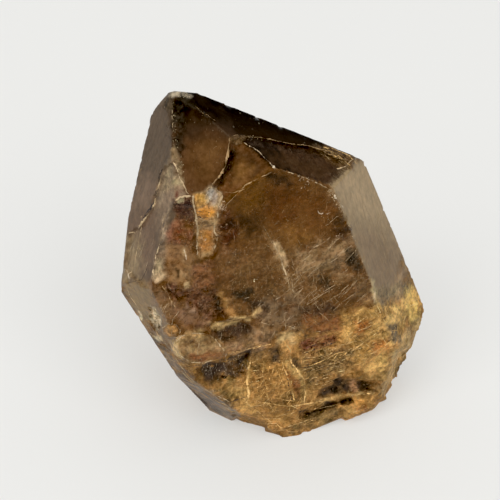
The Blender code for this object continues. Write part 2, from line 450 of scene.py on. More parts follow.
def solid(points):
    """The whole crystal's field."""
    field, towards_view = worn_shape(points)
    break_base(field, points, towards_view)
    field += relief(points, front=ramp(towards_view, -0.1, 0.1))
    above = np.maximum(plane_value(points, SHOULDER_FRONT), plane_value(points, SHOULDER_RIGHT))
    field = cut_away(field, above, points[:, :2], SHOULDER_OUTLINE, layers(points, SHOULDER_RAGGED))
    west = ramp(-points[:, 0], STEP_WEST, STEP_WEST + 0.5) * 4.0 - 2.0
    above = np.minimum(plane_value(points, STEP_FLOOR), west)
    field = cut_away(field, above, points[:, 1:], STEP_OUTLINE, layers(points, STEP_RAGGED))
    for number, scoop in enumerate(SCOOPS.values()):
        field = np.maximum(field, scoop_depth(points, scoop, SCOOP_SEED + 2 * number))
    return np.maximum(field, below_ground(points))


# --------------------------------------------------------------------------
# Dual contouring.
SLOPE_STEP = 0.012
# A small pull to a cell's middle steadies its vertex, which may leave the cell a little.
STEADYING, LEEWAY = 0.06, 0.1
SHARP_ANGLE = math.radians(28)


def field_on_grid(low, shape):
    """The field at every grid point, worked out in full only near the surface."""
    axes = [low[i] + CELL * np.arange(shape[i]) for i in range(3)]
    field = np.empty(shape, np.float32)
    for i, x in enumerate(axes[0]):
        layer = np.stack(np.meshgrid([x], axes[1], axes[2], indexing="ij"), -1).reshape(-1, 3)
        value = np.maximum(outer_shape(layer)[0], below_ground(layer))
        near = (value > DEEPEST) & (value < FURTHEST)
        value[near] = solid(layer[near])
        field[i] = value.reshape(shape[1:])
    return field


def crossings(field, low):
    """Where the surface crosses the grid's edges: axis, cell, place, and if it starts inside."""
    found = []
    inside = field < 0
    for axis in range(3):
        here = [slice(None)] * 3
        there = [slice(None)] * 3
        here[axis] = slice(0, -1)
        there[axis] = slice(1, None)
        here, there = tuple(here), tuple(there)
        index = np.argwhere(inside[here] != inside[there])
        start = field[here][tuple(index.T)].astype(float)
        end = field[there][tuple(index.T)].astype(float)
        place = low + CELL * index
        place[:, axis] += CELL * start / (start - end)
        found.append((axis, index, place, start < 0))
    return found


def slopes(points):
    """The field's unit gradient."""
    gradient = np.empty_like(points)
    for axis in range(3):
        shift = np.zeros(3)
        shift[axis] = SLOPE_STEP
        gradient[:, axis] = solid(points + shift) - solid(points - shift)
    return gradient / np.maximum(np.linalg.norm(gradient, axis=1, keepdims=True), 1e-9)


def quads_and_crossings(low, shape):
    """The cells at each quad's corners, facing out, with the place and slope it crosses at."""
    field = field_on_grid(low, shape)
    strides = np.array((shape[1] * shape[2], shape[2], 1))
    corners, normals, places, quads = [], [], [], []
    for axis, index, place, starts_inside in crossings(field, low):
        u, v = [a for a in range(3) if a != axis]
        around = np.repeat(index[:, None, :], 4, 1)
        for corner, (du, dv) in enumerate(((0, 0), (-1, 0), (-1, -1), (0, -1))):
            around[:, corner, u] += du
            around[:, corner, v] += dv
        cells = around @ strides
        flip = starts_inside == (axis == 1)
        quads.append(np.where(flip[:, None], cells[:, ::-1], cells))
        corners.append(cells)
        normals.append(slopes(place))
        places.append(place)
    return [np.concatenate(found) for found in (quads, corners, normals, places)]


def contour():
    """Vertices in mm about the crystal's centre, and quads facing out."""
    shape = tuple(np.ceil((GRID_HIGH - GRID_LOW) / CELL).astype(int) + 1)
    quads, corners, normals, places = quads_and_crossings(GRID_LOW, shape)
    cells, lookup = np.unique(corners, return_inverse=True)
    lookup = lookup.reshape(corners.shape)
    count = len(cells)

    def gather(values):
        """Sum of a value per crossing over the cells around it."""
        return sum(np.bincount(lookup[:, c], values, count) for c in range(4))

    number = gather(np.ones(len(places)))
    middle = np.stack([gather(places[:, i]) for i in range(3)], 1) / number[:, None]
    matrix = np.empty((count, 3, 3))
    for i in range(3):
        for j in range(3):
            matrix[:, i, j] = gather(normals[:, i] * normals[:, j])
    offset = np.sum(normals * places, 1)
    pull = np.stack([gather(normals[:, i] * offset) for i in range(3)], 1)
    pull -= np.einsum("nij,nj->ni", matrix, middle)
    matrix += STEADYING * np.eye(3)
    vertices = middle + np.linalg.solve(matrix, pull[..., None])[..., 0]
    cell_low = GRID_LOW + CELL * np.stack(np.unravel_index(cells, shape), 1)
    vertices = np.clip(vertices, cell_low - LEEWAY * CELL, cell_low + (1 + LEEWAY) * CELL)
    return vertices, np.searchsorted(cells, quads)


def mesh_piece(name, vertices, faces):
    """A piece from vertices in mm about CENTRE, and faces."""
    mesh = bpy.data.meshes.new(name)
    mesh.from_pydata(((np.array(vertices) + CENTRE) * MM).tolist(), [], faces)
    piece = bpy.data.objects.new(name, mesh)
    bpy.context.scene.collection.objects.link(piece)
    return piece


vertices, quads = contour()
crystal = mesh_piece("citrine_crystal", vertices, quads.tolist())
crystal.data.update()
crystal.data.shade_smooth()
crystal.data.set_sharp_from_angle(angle=SHARP_ANGLE)
surface = BVHTree.FromPolygons(vertices.tolist(), quads.tolist())


def hit(start, way):
    """The place and normal where a ray meets the crystal, or None twice."""
    place, normal, _, _ = surface.ray_cast(Vector(start), Vector(way))
    if place is None:
        return None, None
    return np.array(place), np.array(normal)


def on_surface(pixel):
    """The point of the crystal's surface seen at a pixel, and its normal."""
    return hit(EYE, view_ray(pixel))


# Spots on the hidden sides are counted by azimuth and height about the leaning axis, in
# steps that are about as large as a pixel. The axis moves this many mm for each mm up.
PER_DEGREE, PER_MM = 2.15, 6.2
AXIS_LEAN = -0.47
OUTSIDE = 60.0


def round_the_back(spot):
    """The surface's point and normal at a spot on the hidden sides."""
    turn, height = math.radians(spot[0] / PER_DEGREE), spot[1] / PER_MM
    outward = Vector((math.cos(turn), math.sin(turn), 0.0))
    axis = Vector((AXIS_LEAN * height, 0.0, height))
    return hit(axis + OUTSIDE * outward, -outward)


# --------------------------------------------------------------------------
# Paint: each vertex gets a colour and a nature.
def linear(colour):
    c = np.array(colour, float) / 255.0
    return np.where(c <= 0.04045, c / 12.92, ((c + 0.055) / 1.055) ** 2.4)


class Paint:
    """Colour, clearness, roughness, stain, streaks, mottle and specks per vertex."""
    NATURE = ("clear", "rough", "stain", "streak", "mottle", "speck")

    def __init__(self, points):
        self.points = points
        self.tint = np.zeros((len(points), 3))
        self.values = {name: np.zeros(len(points)) for name in self.NATURE}

    def lay(self, mask, colour, **values):
        self.tint += mask[:, None] * (linear(colour) - self.tint)
        for name, value in values.items():
            self.values[name] += mask * (value - self.values[name])

    def lay_look(self, mask, look):
        """Lays a colour and all six values of its nature."""
        self.lay(mask, look[0], **dict(zip(self.NATURE, look[1:])))

    def shade(self, factor):
        self.tint *= factor[:, None]

    def store(self, piece):
        """Writes the paint as three colour attributes."""
        one = np.ones(len(self.points))
        for name, columns in (
            ("tint", list(self.tint.T)),
            ("nature", [self.values[name] for name in self.NATURE[:3]]),
            ("marks", [self.values[name] for name in self.NATURE[3:]]),
        ):
            layer = piece.data.attributes.new(name, "FLOAT_COLOR", "POINT")
            layer.data.foreach_set("color", np.stack(columns + [one], 1).astype(np.float32).ravel())


# A face's colour, and how clear, rough, stained, streaked, mottled and specked it is.
# The grey of the satin faces, point_left and prism_right most, is partly their etched colour and partly
# painted sheen, the floor's reflection. The near-black of point_right is painted dark reflection.
FACE_LOOKS = {
    "point_front": ((98, 68, 44), 0.3, 0.10, 0.0, 0.35, 0.35, 0.1),
    "point_right": ((18, 11, 6), 0.0, 0.05, 0.0, 0.04, 0.1, 0.2),
    "point_back_right": ((78, 56, 38), 0.3, 0.12, 0.0, 0.4, 0.6, 0.3),
    "point_left": ((104, 87, 70), 0.25, 0.33, 0.0, 0.8, 0.15, 0.0),
    "point_back_left": ((122, 102, 82), 0.25, 0.3, 0.0, 0.7, 0.4, 0.2),
    "point_far_left": ((108, 94, 80), 0.25, 0.33, 0.0, 0.8, 0.15, 0.0),
    "prism_front": ((124, 84, 42), 0.6, 0.12, 0.0, 0.1, 0.5, 0.3),
    "prism_right": ((158, 134, 100), 0.25, 0.33, 0.0, 0.8, 0.2, 0.1),
    "prism_back_right": ((140, 116, 88), 0.25, 0.3, 0.0, 0.7, 0.5, 0.2),
    "prism_back": ((136, 104, 70), 0.3, 0.2, 0.0, 0.5, 0.7, 0.3),
    "prism_left": ((120, 102, 84), 0.25, 0.33, 0.0, 0.8, 0.2, 0.0),
    "prism_front_left": ((140, 116, 90), 0.2, 0.4, 0.0, 0.5, 0.4, 0.1),
    "tip_top": ((150, 135, 115), 0.2, 0.5, 0.0, 0.0, 0.8, 0.5),
    "tip_back": ((60, 45, 30), 0.7, 0.2, 0.0, 0.0, 0.5, 0.2),
    "tip_left": ((110, 95, 80), 0.3, 0.4, 0.0, 0.2, 0.5, 0.2),
    "right_shoulder": ((130, 110, 85), 0.4, 0.3, 0.0, 0.3, 0.5, 0.4),
}
BASE_LOOK = ((168, 124, 70), 0.06, 0.6, 1.0, 0.2, 0.8, 0.2)
SUNK_FRONT, SUNK_RIGHT = (98, 64, 36), (64, 43, 27)
UPPER_STAIN, HIDDEN_STAIN = (150, 108, 62), (150, 112, 70)
# Noises, as height, size in mm and seed.
STAIN_BORDER = (2.4, 3.0, 54), (1.2, 1.1, 55)
STAIN_EDGE = (2.6, 2.6, 58), (1.2, 0.9, 59)
STAIN_SPOTS = (1.0, 0.9, 56)
PATCHES = (0.9, 2.0, 52), (0.6, 0.8, 53)
AREA_WAVES = (1.0, 1.3, 50), (0.5, 0.7, 51)
HIDDEN_CLOUDS = (0.5, 7.0, 60), (0.35, 2.4, 61)
HIDDEN_STAINS = (1.0, 3.4, 62), (0.4, 1.0, 63)
BASE_TONE = (1.0, 5.0, 57)
# How much lighter than painted the base and the big front face are.
BASE_LIFT, FRONT_LIFT = 0.24, 0.24


# Areas outlined in the view: colour, clear, rough, stain, mottle, soft, wobble, outline.
AREAS = (
    # Upper faces.
    ((34, 22, 12), 0.0, 0.05, 0, 0.05, 4, 1,
     "216,124 232,126 262,130 300,140 332,150 300,147 262,142 234,140 222,136"),
    # Painted dark reflection: the top face's near-black band.
    ((3, 2, 1), 0.0, 0.05, 0, 0.05, 3, 1,
     "170,86 200,90 260,106 340,134 358,146 354,153 330,147 300,135 262,121 232,113 206,107 188,110 "
     "172,108"),
    ((96, 66, 40), 0.25, 0.12, 0, 0.2, 6, 2,
     "186,140 205,134 230,140 226,160 212,182 196,192 188,178 184,160"),
    ((114, 80, 48), 0.25, 0.12, 0, 0.3, 6, 2, "196,146 214,144 222,150 218,166 208,176 198,170"),
    ((60, 44, 32), 0.05, 0.10, 0, 0.12, 6, 1.5,
     "171,104 198,102 216,114 230,126 236,138 206,136 188,142 178,152 171,142"),
    ((34, 23, 15), 0.0, 0.1, 0, 0.12, 5, 1.5, "174,104 192,100 212,112 226,124 206,124 190,122 176,124"),
    ((5, 3, 2), 0.0, 0.05, 0, 0.1, 4, 1,
     "170,96 192,97 208,106 224,118 214,118 198,112 186,114 177,122 171,124"),
    ((16, 11, 9), 0.1, 0.3, 0, 0.45, 2.2, 1.5, "171,104 181,104 184,150 181,158 174,156 172,130"),
    ((132, 112, 82), 0.15, 0.5, 0.1, 1.0, 1.2, 1,
     "170,152 174,150 180,164 183.6,187 179,184 176,172 169,160"),
    ((176, 164, 142), 0.1, 0.55, 0.1, 1.0, 0.6, 0.6,
     "167,98 169,92.5 177,90 184,92 190,97 186,99 178,97 172,99"),
    ((66, 54, 40), 0.2, 0.5, 0.1, 1.0, 1.0, 1, "161,106 164,98 169,98 171,104 170,110 164,112"),
    ((150, 128, 104), 0.2, 0.4, 0, 0.5, 2, 0.8,
     "170.6,160 163,172 159,182 156,198 151,208 142,222 136,232 150,240 162,228 168,212 174,202 185,195 "
     "182,185 177,174"),
    ((172, 150, 118), 0.1, 0.5, 0.1, 0.9, 2.5, 1.2,
     "170.6,161 164,172 160,180 158,192 166,194 176,188 182,188 177,174"),
    ((104, 56, 44), 0.3, 0.35, 0.1, 0.6, 1.0, 1, "175,188 178,187 180,193 177,198 174,199"),
    ((146, 132, 98), 0.15, 0.5, 0.1, 0.8, 1.5, 1, "171,178 176,178 178,184 172,187 170,184"),
    # Left face: grey, partly the etched face's own colour and partly painted sheen, the floor's reflection.
    ((132, 109, 89), 0.25, 0.33, 0, 0.2, 7, 2, "130,186 146,176 158,186 152,208 124,212"),
    ((124, 100, 80), 0.25, 0.33, 0, 0.2, 6, 2,
     "126,206 150,208 162,212 158,250 150,270 140,280 122,284 122,240"),
    ((164, 141, 108), 0.25, 0.35, 0, 0.3, 5, 2, "127,240 138,236 141,255 141,279 128,282 122,280"),
    ((150, 124, 86), 0.2, 0.38, 0, 0.4, 2, 1.5,
     "122,286 134,283 148,284 154,298 152,318 148,326 138,312 128,300"),
    ((128, 96, 66), 0.3, 0.4, 0, 0.8, 3, 2, "150,283 166,288 172,302 180,314 172,324 160,312 152,300"),
    # Scar and pit.
    ((150, 126, 100), 0.15, 0.4, 0.1, 0.8, 1.6, 1.2,
     "168,211 171,214 169,226 169,242 167,262 166,282 156,283 153,272 156,260 160,244 161,230 164,218"),
    ((186, 162, 132), 0.1, 0.4, 0.1, 0.9, 0.8, 1.2,
     "166,211 169.5,210 168,219 165,222 164,235 162,238 161.5,228 163,217"),
    ((188, 164, 128), 0.1, 0.4, 0.1, 0.9, 1.0, 0.8, "156,262 163,262 165,272 163,283 157,283 153,274"),
    ((150, 106, 84), 0.2, 0.4, 0.1, 0.7, 1.8, 1.2, "170,222 174,224 173,240 168,243 168,232"),
    ((84, 54, 44), 0.3, 0.25, 0, 1.0, 2, 1.5, "174,203 186,197 193,199 195,222 188,226 178,224 173,214"),
    ((52, 32, 34), 0.5, 0.12, 0, 0.8, 0.8, 0.8, "184,201 191,199 193,209 186,211"),
    ((150, 138, 106), 0.1, 0.4, 0.1, 0.9, 0.8, 0.8, "177,200 183,198.5 182,202.5 177.5,204"),
    ((128, 84, 58), 0.3, 0.28, 0, 0.9, 3, 1.5, "173,222 187,224 193,236 189,246 176,249 171,242"),
    ((142, 72, 42), 0.35, 0.25, 0, 0.8, 1.8, 1.2, "177,232 183,231 184,241 178,243"),
    ((138, 104, 70), 0.2, 0.3, 0.1, 0.6, 2.5, 1.5, "168,246 190,245 195,260 193,284 170,284 165,266"),
    ((190, 162, 122), 0.1, 0.35, 0.2, 0.8, 0.7, 0.8, "183,249 184.5,248 187,258 186.5,263 184.5,260"),
    ((156, 124, 86), 0.2, 0.35, 0.2, 0.9, 1.2, 1, "180,271 191,270 192,284 182,285"),
    ((206, 176, 130), 0.1, 0.4, 0.2, 0.8, 0.8, 0.8, "183,283 189,281.5 190,288 185,290"),
    ((26, 16, 8), 0.2, 0.5, 0, 0.3, 0.3, 0.3, "176.5,270 179.5,270 179.5,279 176.5,278"),
    ((44, 28, 16), 0.2, 0.5, 0, 0.9, 1.2, 1, "165,284 178,285 178,296 170,298"),
    ((128, 88, 62), 0.4, 0.25, 0, 1.0, 2, 1.5, "193,264 212,262 214,290 194,290"),
    ((182, 148, 104), 0.3, 0.25, 0.1, 0.9, 1.0, 0.8,
     "192,194 206,190 218,204 218,222 217,240 213,253 200,262 197,240 195,216"),
    ((236, 178, 96), 0.3, 0.15, 0.1, 1.0, 0.8, 0.6, "193,195 204,194 205,203 202,208 195,208"),
    ((220, 150, 66), 0.3, 0.15, 0.1, 1.0, 0.8, 0.6, "196,209 206,206 215,208 216,217 206,219 197,217"),
    ((184, 124, 60), 0.35, 0.15, 0.1, 0.9, 1.6, 0.8, "199,231 213,230 215,242 213,251 201,252"),
    ((156, 126, 90), 0.1, 0.3, 0.1, 1.0, 1.0, 1.2,
     "217,200 222,200 222,212 220,226 218,240 215,253 211,252 213,236 214,222 216,210"),
    ((186, 160, 124), 0.3, 0.2, 0, 0.9, 0.6, 0.5, "205,190 211,186 222,193 220,206 214,208 206,203"),
    ((192, 180, 166), 0.35, 0.12, 0, 0.8, 0.6, 0.5, "207,192 211.5,189 217,194 216,203 213,205 208,200"),
    # Front face.
    ((92, 46, 18), 0.6, 0.15, 0, 1.0, 3, 2, "219,208 230,208 238,224 236,246 226,252 217,246 218,224"),
    ((50, 26, 10), 0.6, 0.15, 0, 1.0, 1.5, 1.5, "224,214 230,212 233,224 228,228"),
    ((120, 82, 48), 0.5, 0.2, 0, 0.75, 4, 2, "216,244 232,246 244,262 246,280 222,280 214,262"),
    ((72, 46, 14), 0.7, 0.12, 0, 0.5, 5, 2.5, "238,214 262,216 265,230 246,236"),
    ((144, 96, 36), 0.7, 0.1, 0, 0.4, 6, 2.5, "236,206 246,190 264,180 272,190 266,204 250,212"),
    ((126, 76, 30), 0.7, 0.1, 0, 0.5, 6, 2.5, "266,184 296,186 306,200 296,222 270,226 264,206"),
    ((60, 38, 18), 0.7, 0.1, 0, 0.5, 2.5, 1.5, "264,176 272,172 286,176 290,184 276,186"),
    ((138, 88, 40), 0.65, 0.1, 0, 0.5, 6, 3, "300,190 330,196 338,210 330,226 306,228 296,210"),
    ((150, 102, 48), 0.6, 0.12, 0, 0.6, 4, 2.5, "280,228 300,224 312,238 300,250 286,246"),
    ((78, 46, 18), 0.65, 0.12, 0, 0.8, 2.5, 2, "330,216 340,212 350,228 352,242 340,242 334,230"),
    ((122, 88, 51), 0.45, 0.2, 0, 0.65, 6, 3,
     "222,256 258,246 300,248 336,254 340,286 300,300 256,300 226,290"),
    ((144, 112, 74), 0.4, 0.25, 0, 0.8, 2.0, 1.2,
     "263,227 268,231 274,242 282,249 286,258 289,270 291,284 297,296 292,298 286,286 281,270 276,259 "
     "270,247 264,236"),
    ((186, 156, 114), 0.3, 0.3, 0, 1.0, 0.9, 0.8, "274,241 278,242 284,253 288,268 286,269 279,254"),
    ((158, 126, 88), 0.4, 0.25, 0, 0.8, 4, 2.5, "292,254 318,243 350,240 356,256 340,276 322,270 300,276"),
    ((44, 30, 12), 0.6, 0.15, 0, 1.0, 1.8, 1.5, "347,246 358,247 362,264 358,272 350,266 345,256"),
    ((62, 44, 20), 0.6, 0.2, 0, 0.8, 1.8, 1.5, "320,276 330,275 331,286 323,287"),
    ((66, 46, 24), 0.5, 0.2, 0, 0.8, 1.5, 1.5, "332,262 340,260 342,268 335,270"),
    ((126, 96, 62), 0.3, 0.25, 0.2, 0.9, 2.5, 1.5, "352,274 364,272 372,290 366,302 352,294"),
    ((122, 96, 70), 0.35, 0.3, 0, 0.8, 5, 2.5, "258,298 300,294 306,306 300,326 270,328 254,320"),
    ((58, 42, 22), 0.5, 0.2, 0, 1.0, 2.2, 2, "233,290 251,288 253,299 238,301"),
    ((134, 98, 58), 0.4, 0.2, 0, 0.8, 3, 2, "230,300 246,304 252,314 244,322 232,320"),
    ((74, 54, 34), 0.5, 0.2, 0, 1.0, 2, 2, "246,300 262,298 266,308 252,312"),
    ((142, 96, 62), 0.4, 0.3, 0.1, 1.0, 3, 2, "193,266 206,262 214,268 214,292 194,290"),
    ((112, 76, 56), 0.3, 0.4, 0.1, 1.0, 3, 2,
     "166,286 180,290 193,290 207,291 217,292 225,302 225,317 207,320 186,302 172,298"),
    ((134, 100, 74), 0.35, 0.3, 0, 0.8, 3, 1.5, "172,303 186,304 200,312 212,322 206,332 186,330 176,318"),
    ((168, 136, 112), 0.3, 0.3, 0, 0.8, 1.0, 0.8, "188,306 194,306 196,312 190,313"),
    ((34, 22, 14), 0.2, 0.5, 0, 1.0, 1.5, 1.5, "209,293 220,296 225,304 225,314 219,318 215,304"),
    ((158, 116, 66), 0.2, 0.35, 0.3, 0.9, 1.8, 1.2, "219,293 224,294 230,304 240,316 232,318 225,308"),
    # Right face: grey-tan, partly the etched face's own colour and partly painted sheen, the floor's
    # reflection.
    ((186, 160, 122), 0.25, 0.33, 0, 0.2, 8, 2, "332,188 350,166 362,164 386,212 370,216 345,208"),
    ((139, 114, 84), 0.25, 0.33, 0, 0.2, 8, 2, "350,236 372,232 398,246 410,276 396,300 378,300 366,262"),
    ((240, 218, 164), 0.1, 0.4, 0.2, 0.6, 0.5, 0.5, "371,279 374,280 377,292 377,303 374,302 373,290"),
    ((66, 58, 48), 0.2, 0.4, 0, 0.8, 1.5, 1, "404,283 411,283 411,291 405,291"),
    ((136, 116, 84), 0.2, 0.4, 0.3, 1.0, 3, 2, "376,288 400,280 412,284 408,298 390,306 374,304"),
    # Base.
    ((226, 190, 112), 0.05, 0.5, 1, 0.8, 2, 1.5, "402,302 411,280 420,300 418,322 406,320"),
    ((196, 152, 88), 0.05, 0.55, 1, 0.7, 4, 2, "344,310 378,304 396,308 390,338 372,344 356,352 342,336"),
    ((224, 178, 106), 0.05, 0.55, 0.8, 0.8, 2.5, 1.5, "374,318 394,312 402,326 394,344 378,340"),
    ((214, 176, 110), 0.05, 0.55, 0.8, 0.8, 2.5, 1.5, "386,304 402,300 406,322 396,334 388,322"),
    ((206, 158, 88), 0.05, 0.55, 0.9, 0.8, 2.5, 1.5, "350,344 372,340 374,356 360,366 348,358"),
    ((176, 112, 58), 0.05, 0.55, 1, 0.8, 1.5, 1.5, "356,322 368,319 374,326 366,333 356,334"),
    ((186, 124, 66), 0.05, 0.55, 1, 0.7, 2, 1.5, "374,340 388,338 392,350 380,356 373,352"),
    ((214, 176, 106), 0.05, 0.5, 0.9, 0.8, 2.0, 1.5, "372,356 386,350 388,360 380,370 372,368"),
    ((66, 40, 22), 0.4, 0.35, 0.2, 0.9, 2, 1.5, "300,306 318,302 336,304 338,314 320,316 304,314"),
    ((134, 84, 46), 0.3, 0.35, 0.3, 0.8, 2, 1.5, "302,316 322,314 341,316 343,328 322,334 306,326"),
    ((184, 154, 106), 0.05, 0.5, 0.8, 0.8, 2.5, 1.5, "276,334 292,330 298,342 288,350 276,346"),
    ((142, 110, 78), 0.15, 0.45, 0.3, 0.9, 3, 2, "224,340 262,322 280,330 270,348 240,358 226,354"),
    # Painted shade in the hollow under the ledge, and above it a pale rim that is partly painted highlight.
    ((72, 55, 44), 0.1, 0.5, 0.1, 0.45, 1.5, 1.5,
     "211,327 225,323 240,319 253,322 251,333 238,341 222,343 213,338"),
    ((200, 168, 114), 0.05, 0.42, 0.3, 0.7, 0.8, 0.8,
     "212,323 222,321 237,317 251,316 259,307 261,311 253,320 238,322 228,326 219,331 213,328"),
    ((146, 118, 80), 0.1, 0.45, 0.3, 0.8, 2, 1,
     "174,344 183,338 194,334 206,334 218,340 226,351 225,357 206,363 188,363 178,357 174,351"),
    ((216, 184, 132), 0.05, 0.5, 0.4, 0.8, 0.8, 0.8, "173,342 179,338 180,350 184,360 178,358 172,350"),
    ((156, 124, 86), 0.05, 0.5, 0.3, 0.8, 1.2, 1, "214,338 224,342 227,352 218,350"),
    ((130, 84, 52), 0.05, 0.5, 0.6, 0.7, 0.8, 0.8, "190,357 208,352 226,352 226,358 208,362 192,362"),
    ((190, 142, 86), 0.05, 0.5, 0.7, 0.8, 1, 0.8,
     "164,329 168,326 176,326 180,331 178,336 170,337 165,334"),
    # Painted glints on small light facets.
    ((236, 218, 182), 0.05, 0.4, 0.1, 0.9, 0.6, 0.8, "150,309 155,307 160,318 162,328 157,331 152,322"),
    ((236, 214, 172), 0.05, 0.4, 0.1, 0.8, 0.3, 0.3, "138.5,312 141,312 144.5,320 142,321"),
    ((226, 204, 164), 0.05, 0.4, 0.1, 0.8, 0.5, 0.6, "154,337 162,337 164,342 158,342"),
    # Painted shade in a hollow band of pits.
    ((60, 48, 42), 0.1, 0.5, 0.1, 0.4, 1.2, 1.2,
     "199,371 208,363 222,360 236,357 252,349 249,361 246,373 226,380 211,383 202,377"),
    ((108, 86, 46), 0.05, 0.5, 0.5, 1.0, 2, 1.5, "216,382 232,378 244,384 246,396 230,400 220,394"),
    ((46, 34, 20), 0.05, 0.5, 0.2, 0.8, 0.8, 0.8, "237,386 242,386 243,391 238,392"),
    ((112, 94, 72), 0.05, 0.5, 0.4, 0.9, 1.5, 1.2, "226,401 236,400 239,412 230,414"),
    ((170, 126, 70), 0.05, 0.55, 1, 0.7, 3, 1.5,
     "250,362 282,360 294,380 300,410 288,424 268,420 250,410 246,390"),
    ((112, 80, 42), 0.05, 0.55, 0.8, 0.9, 1.5, 1.5, "254,364 263,363 264,374 256,377"),
    ((204, 162, 96), 0.05, 0.5, 1, 0.7, 1.2, 1, "247,362 251,361 253,374 250,392 244,402 242,388 247,376"),
    ((206, 152, 88), 0.05, 0.45, 0.6, 0.8, 1.2, 0.8, "281,345 287,342 293,347 293,357 286,360 281,354"),
    ((206, 166, 100), 0.05, 0.5, 1, 0.7, 0.8, 0.7,
     "286,359 291,361 304,374 308,388 308,404 302,404 302,382 292,372 285,366"),
    ((132, 82, 44), 0.05, 0.5, 0.8, 0.9, 1, 1, "288,370 294,374 302,384 302,398 297,394 292,382"),
    ((70, 54, 42), 0.05, 0.5, 0.3, 0.8, 1, 1, "270,346 280,344 281,362 274,364 270,356"),
    ((84, 66, 46), 0.05, 0.5, 0.5, 0.8, 1, 1, "292,357 299,357 300,365 294,366"),
    ((124, 74, 52), 0.05, 0.5, 0.3, 1.0, 2, 1.5, "300,341 312,336 334,334 337,341 318,349 303,352"),
    ((128, 100, 62), 0.05, 0.5, 0.8, 1.0, 3, 1.5,
     "302,352 340,344 358,350 352,370 330,374 312,392 304,376"),
    # Painted shade in the hollow band of pits, black in the deepest pits.
    ((60, 46, 38), 0.05, 0.5, 0.1, 0.35, 2.2, 1.2,
     "319,396 324,388 333,380 341,375 352,377 362,378 374,381 375,389 357,392 341,392 327,396"),
    ((14, 10, 9), 0.05, 0.5, 0.0, 0.4, 1, 1, "331,384 336,380 346,379 347,386 338,391 332,390"),
    ((14, 10, 9), 0.05, 0.5, 0.0, 0.4, 1, 1, "361,381 368,380 373,386 371,391 363,388"),
    ((176, 132, 96), 0.05, 0.5, 0.2, 0.9, 0.8, 0.8, "352,378 357,378 359,392 354,392"),
    # A pale rim along the ledge, partly painted highlight, and under it painted shade, black where deepest.
    ((214, 178, 118), 0.05, 0.5, 0.7, 0.7, 0.5, 0.6,
     "308,403 322,399 340,394 358,391.5 374,389.5 375,391.5 356,393.5 340,396.5 324,402 308,406"),
    ((42, 33, 28), 0.05, 0.5, 0.1, 0.4, 1, 1,
     "300,411 311,408 323,404 335,399 353,395 356,400 341,404 327,410 314,418 303,419"),
    ((10, 7, 6), 0.05, 0.5, 0.0, 0.6, 0.8, 0.8, "340,397 354,395 355,400 342,403"),
    ((214, 154, 82), 0.05, 0.5, 0.8, 0.8, 1.2, 1, "355,397 366,396 368,403 358,405"),
    ((150, 98, 52), 0.05, 0.5, 0.8, 0.8, 1, 0.8, "357,404 368,402 369,410 360,411"),
    ((150, 118, 69), 0.05, 0.55, 1, 0.8, 2, 1.5, "304,420 330,411 352,404 356,412 330,421 306,430 296,428"),
    ((192, 160, 108), 0.05, 0.5, 0.3, 0.9, 2.5, 1.2,
     "393,347 412,322 424,314 422,332 411,354 393,381 382,393 384,372"),
    ((108, 92, 72), 0.05, 0.5, 0.4, 0.9, 1.5, 1.2, "390,324 399,322 401,338 392,342"),
    ((186, 144, 84), 0.05, 0.5, 0.8, 0.8, 2.5, 1.5, "232,388 246,386 250,402 258,412 244,414 234,404"),
    ((200, 160, 96), 0.05, 0.5, 0.8, 0.8, 2.5, 1.5, "366,360 380,356 392,364 388,378 374,380 364,372"),
    ((180, 146, 98), 0.1, 0.45, 0.3, 0.8, 1.2, 1, "180,334 194,330 206,331 204,338 190,339 180,341"),
    ((118, 92, 54), 0.05, 0.5, 0.8, 0.8, 2, 1.2, "310,416 326,410 340,408 336,420 320,428 308,426"),
    ((112, 97, 82), 0.1, 0.4, 0.1, 0.6, 1.2, 0.8,
     "150,336 165,347 178,360 190,374 202,384 214,392 228,401 242,413 240,426 206,420 174,400 146,368 "
     "138,340"),
    ((98, 84, 76), 0.1, 0.4, 0.1, 0.6, 2, 1,
     "160,354 172,366 186,382 204,396 222,406 216,414 196,402 176,384 160,364"),
    # Upper faces again, over what the lower areas spread onto them.
    ((92, 68, 42), 0.1, 0.3, 0.2, 1.0, 2, 1.5,
     "312,144 327,145 348,151 358,159 351,167 338,168 327,159 315,151"),
    # Painted shadow under the shoulder's ledge.
    ((30, 16, 10), 0.1, 0.15, 0, 0.5, 1.5, 1,
     "246,141 266,142 286,145 307,148 323,154 322,159 306,154 286,151 266,149 248,146"),
    ((64, 43, 24), 0.1, 0.15, 0, 0.3, 4, 2, "262,152 290,154 322,162 338,170 322,182 296,172 274,164"),
    ((72, 49, 29), 0.1, 0.12, 0, 0.3, 4, 2, "232,152 250,150 266,164 262,176 246,182 230,182"),
    ((128, 90, 50), 0.2, 0.12, 0, 0.4, 4, 1.5, "233,166 242,161 250,170 246,180 236,182"),
    # Painted shadow beside the shoulder's step.
    ((30, 15, 8), 0.6, 0.15, 0, 0.6, 1.5, 1, "229,148 234,152 230,170 222,184 214,187 221,174 227,162"),
    ((112, 86, 56), 0.2, 0.45, 0.3, 1.0, 0.8, 0.8, "228.5,138 236,136 242,138 240,142 235,144.5 229.5,143"),
)


def paint_faces(paint, face, outside):
    """The flat faces' own looks, and the sunk faces of the shoulder."""
    points = paint.points
    for number, name in enumerate(list(CRYSTAL_FACES) + list(BASE_BREAKS)):
        paint.lay_look((face == number) * 1.0, FACE_LOOKS.get(name, BASE_LOOK))
    sunk = outline_distance(points[:, :2], SHOULDER_OUTLINE) < 0
    sunk &= (points[:, 2] > 11) & (outside.max(0) < -0.35)
    right = plane_value(points, SHOULDER_RIGHT) > plane_value(points, SHOULDER_FRONT)
    for here, colour in ((sunk & ~right, SUNK_FRONT), (sunk & right, SUNK_RIGHT)):
        paint.lay(here, colour, clear=0.2, rough=0.15, streak=0.2, mottle=0.5, speck=0.1)


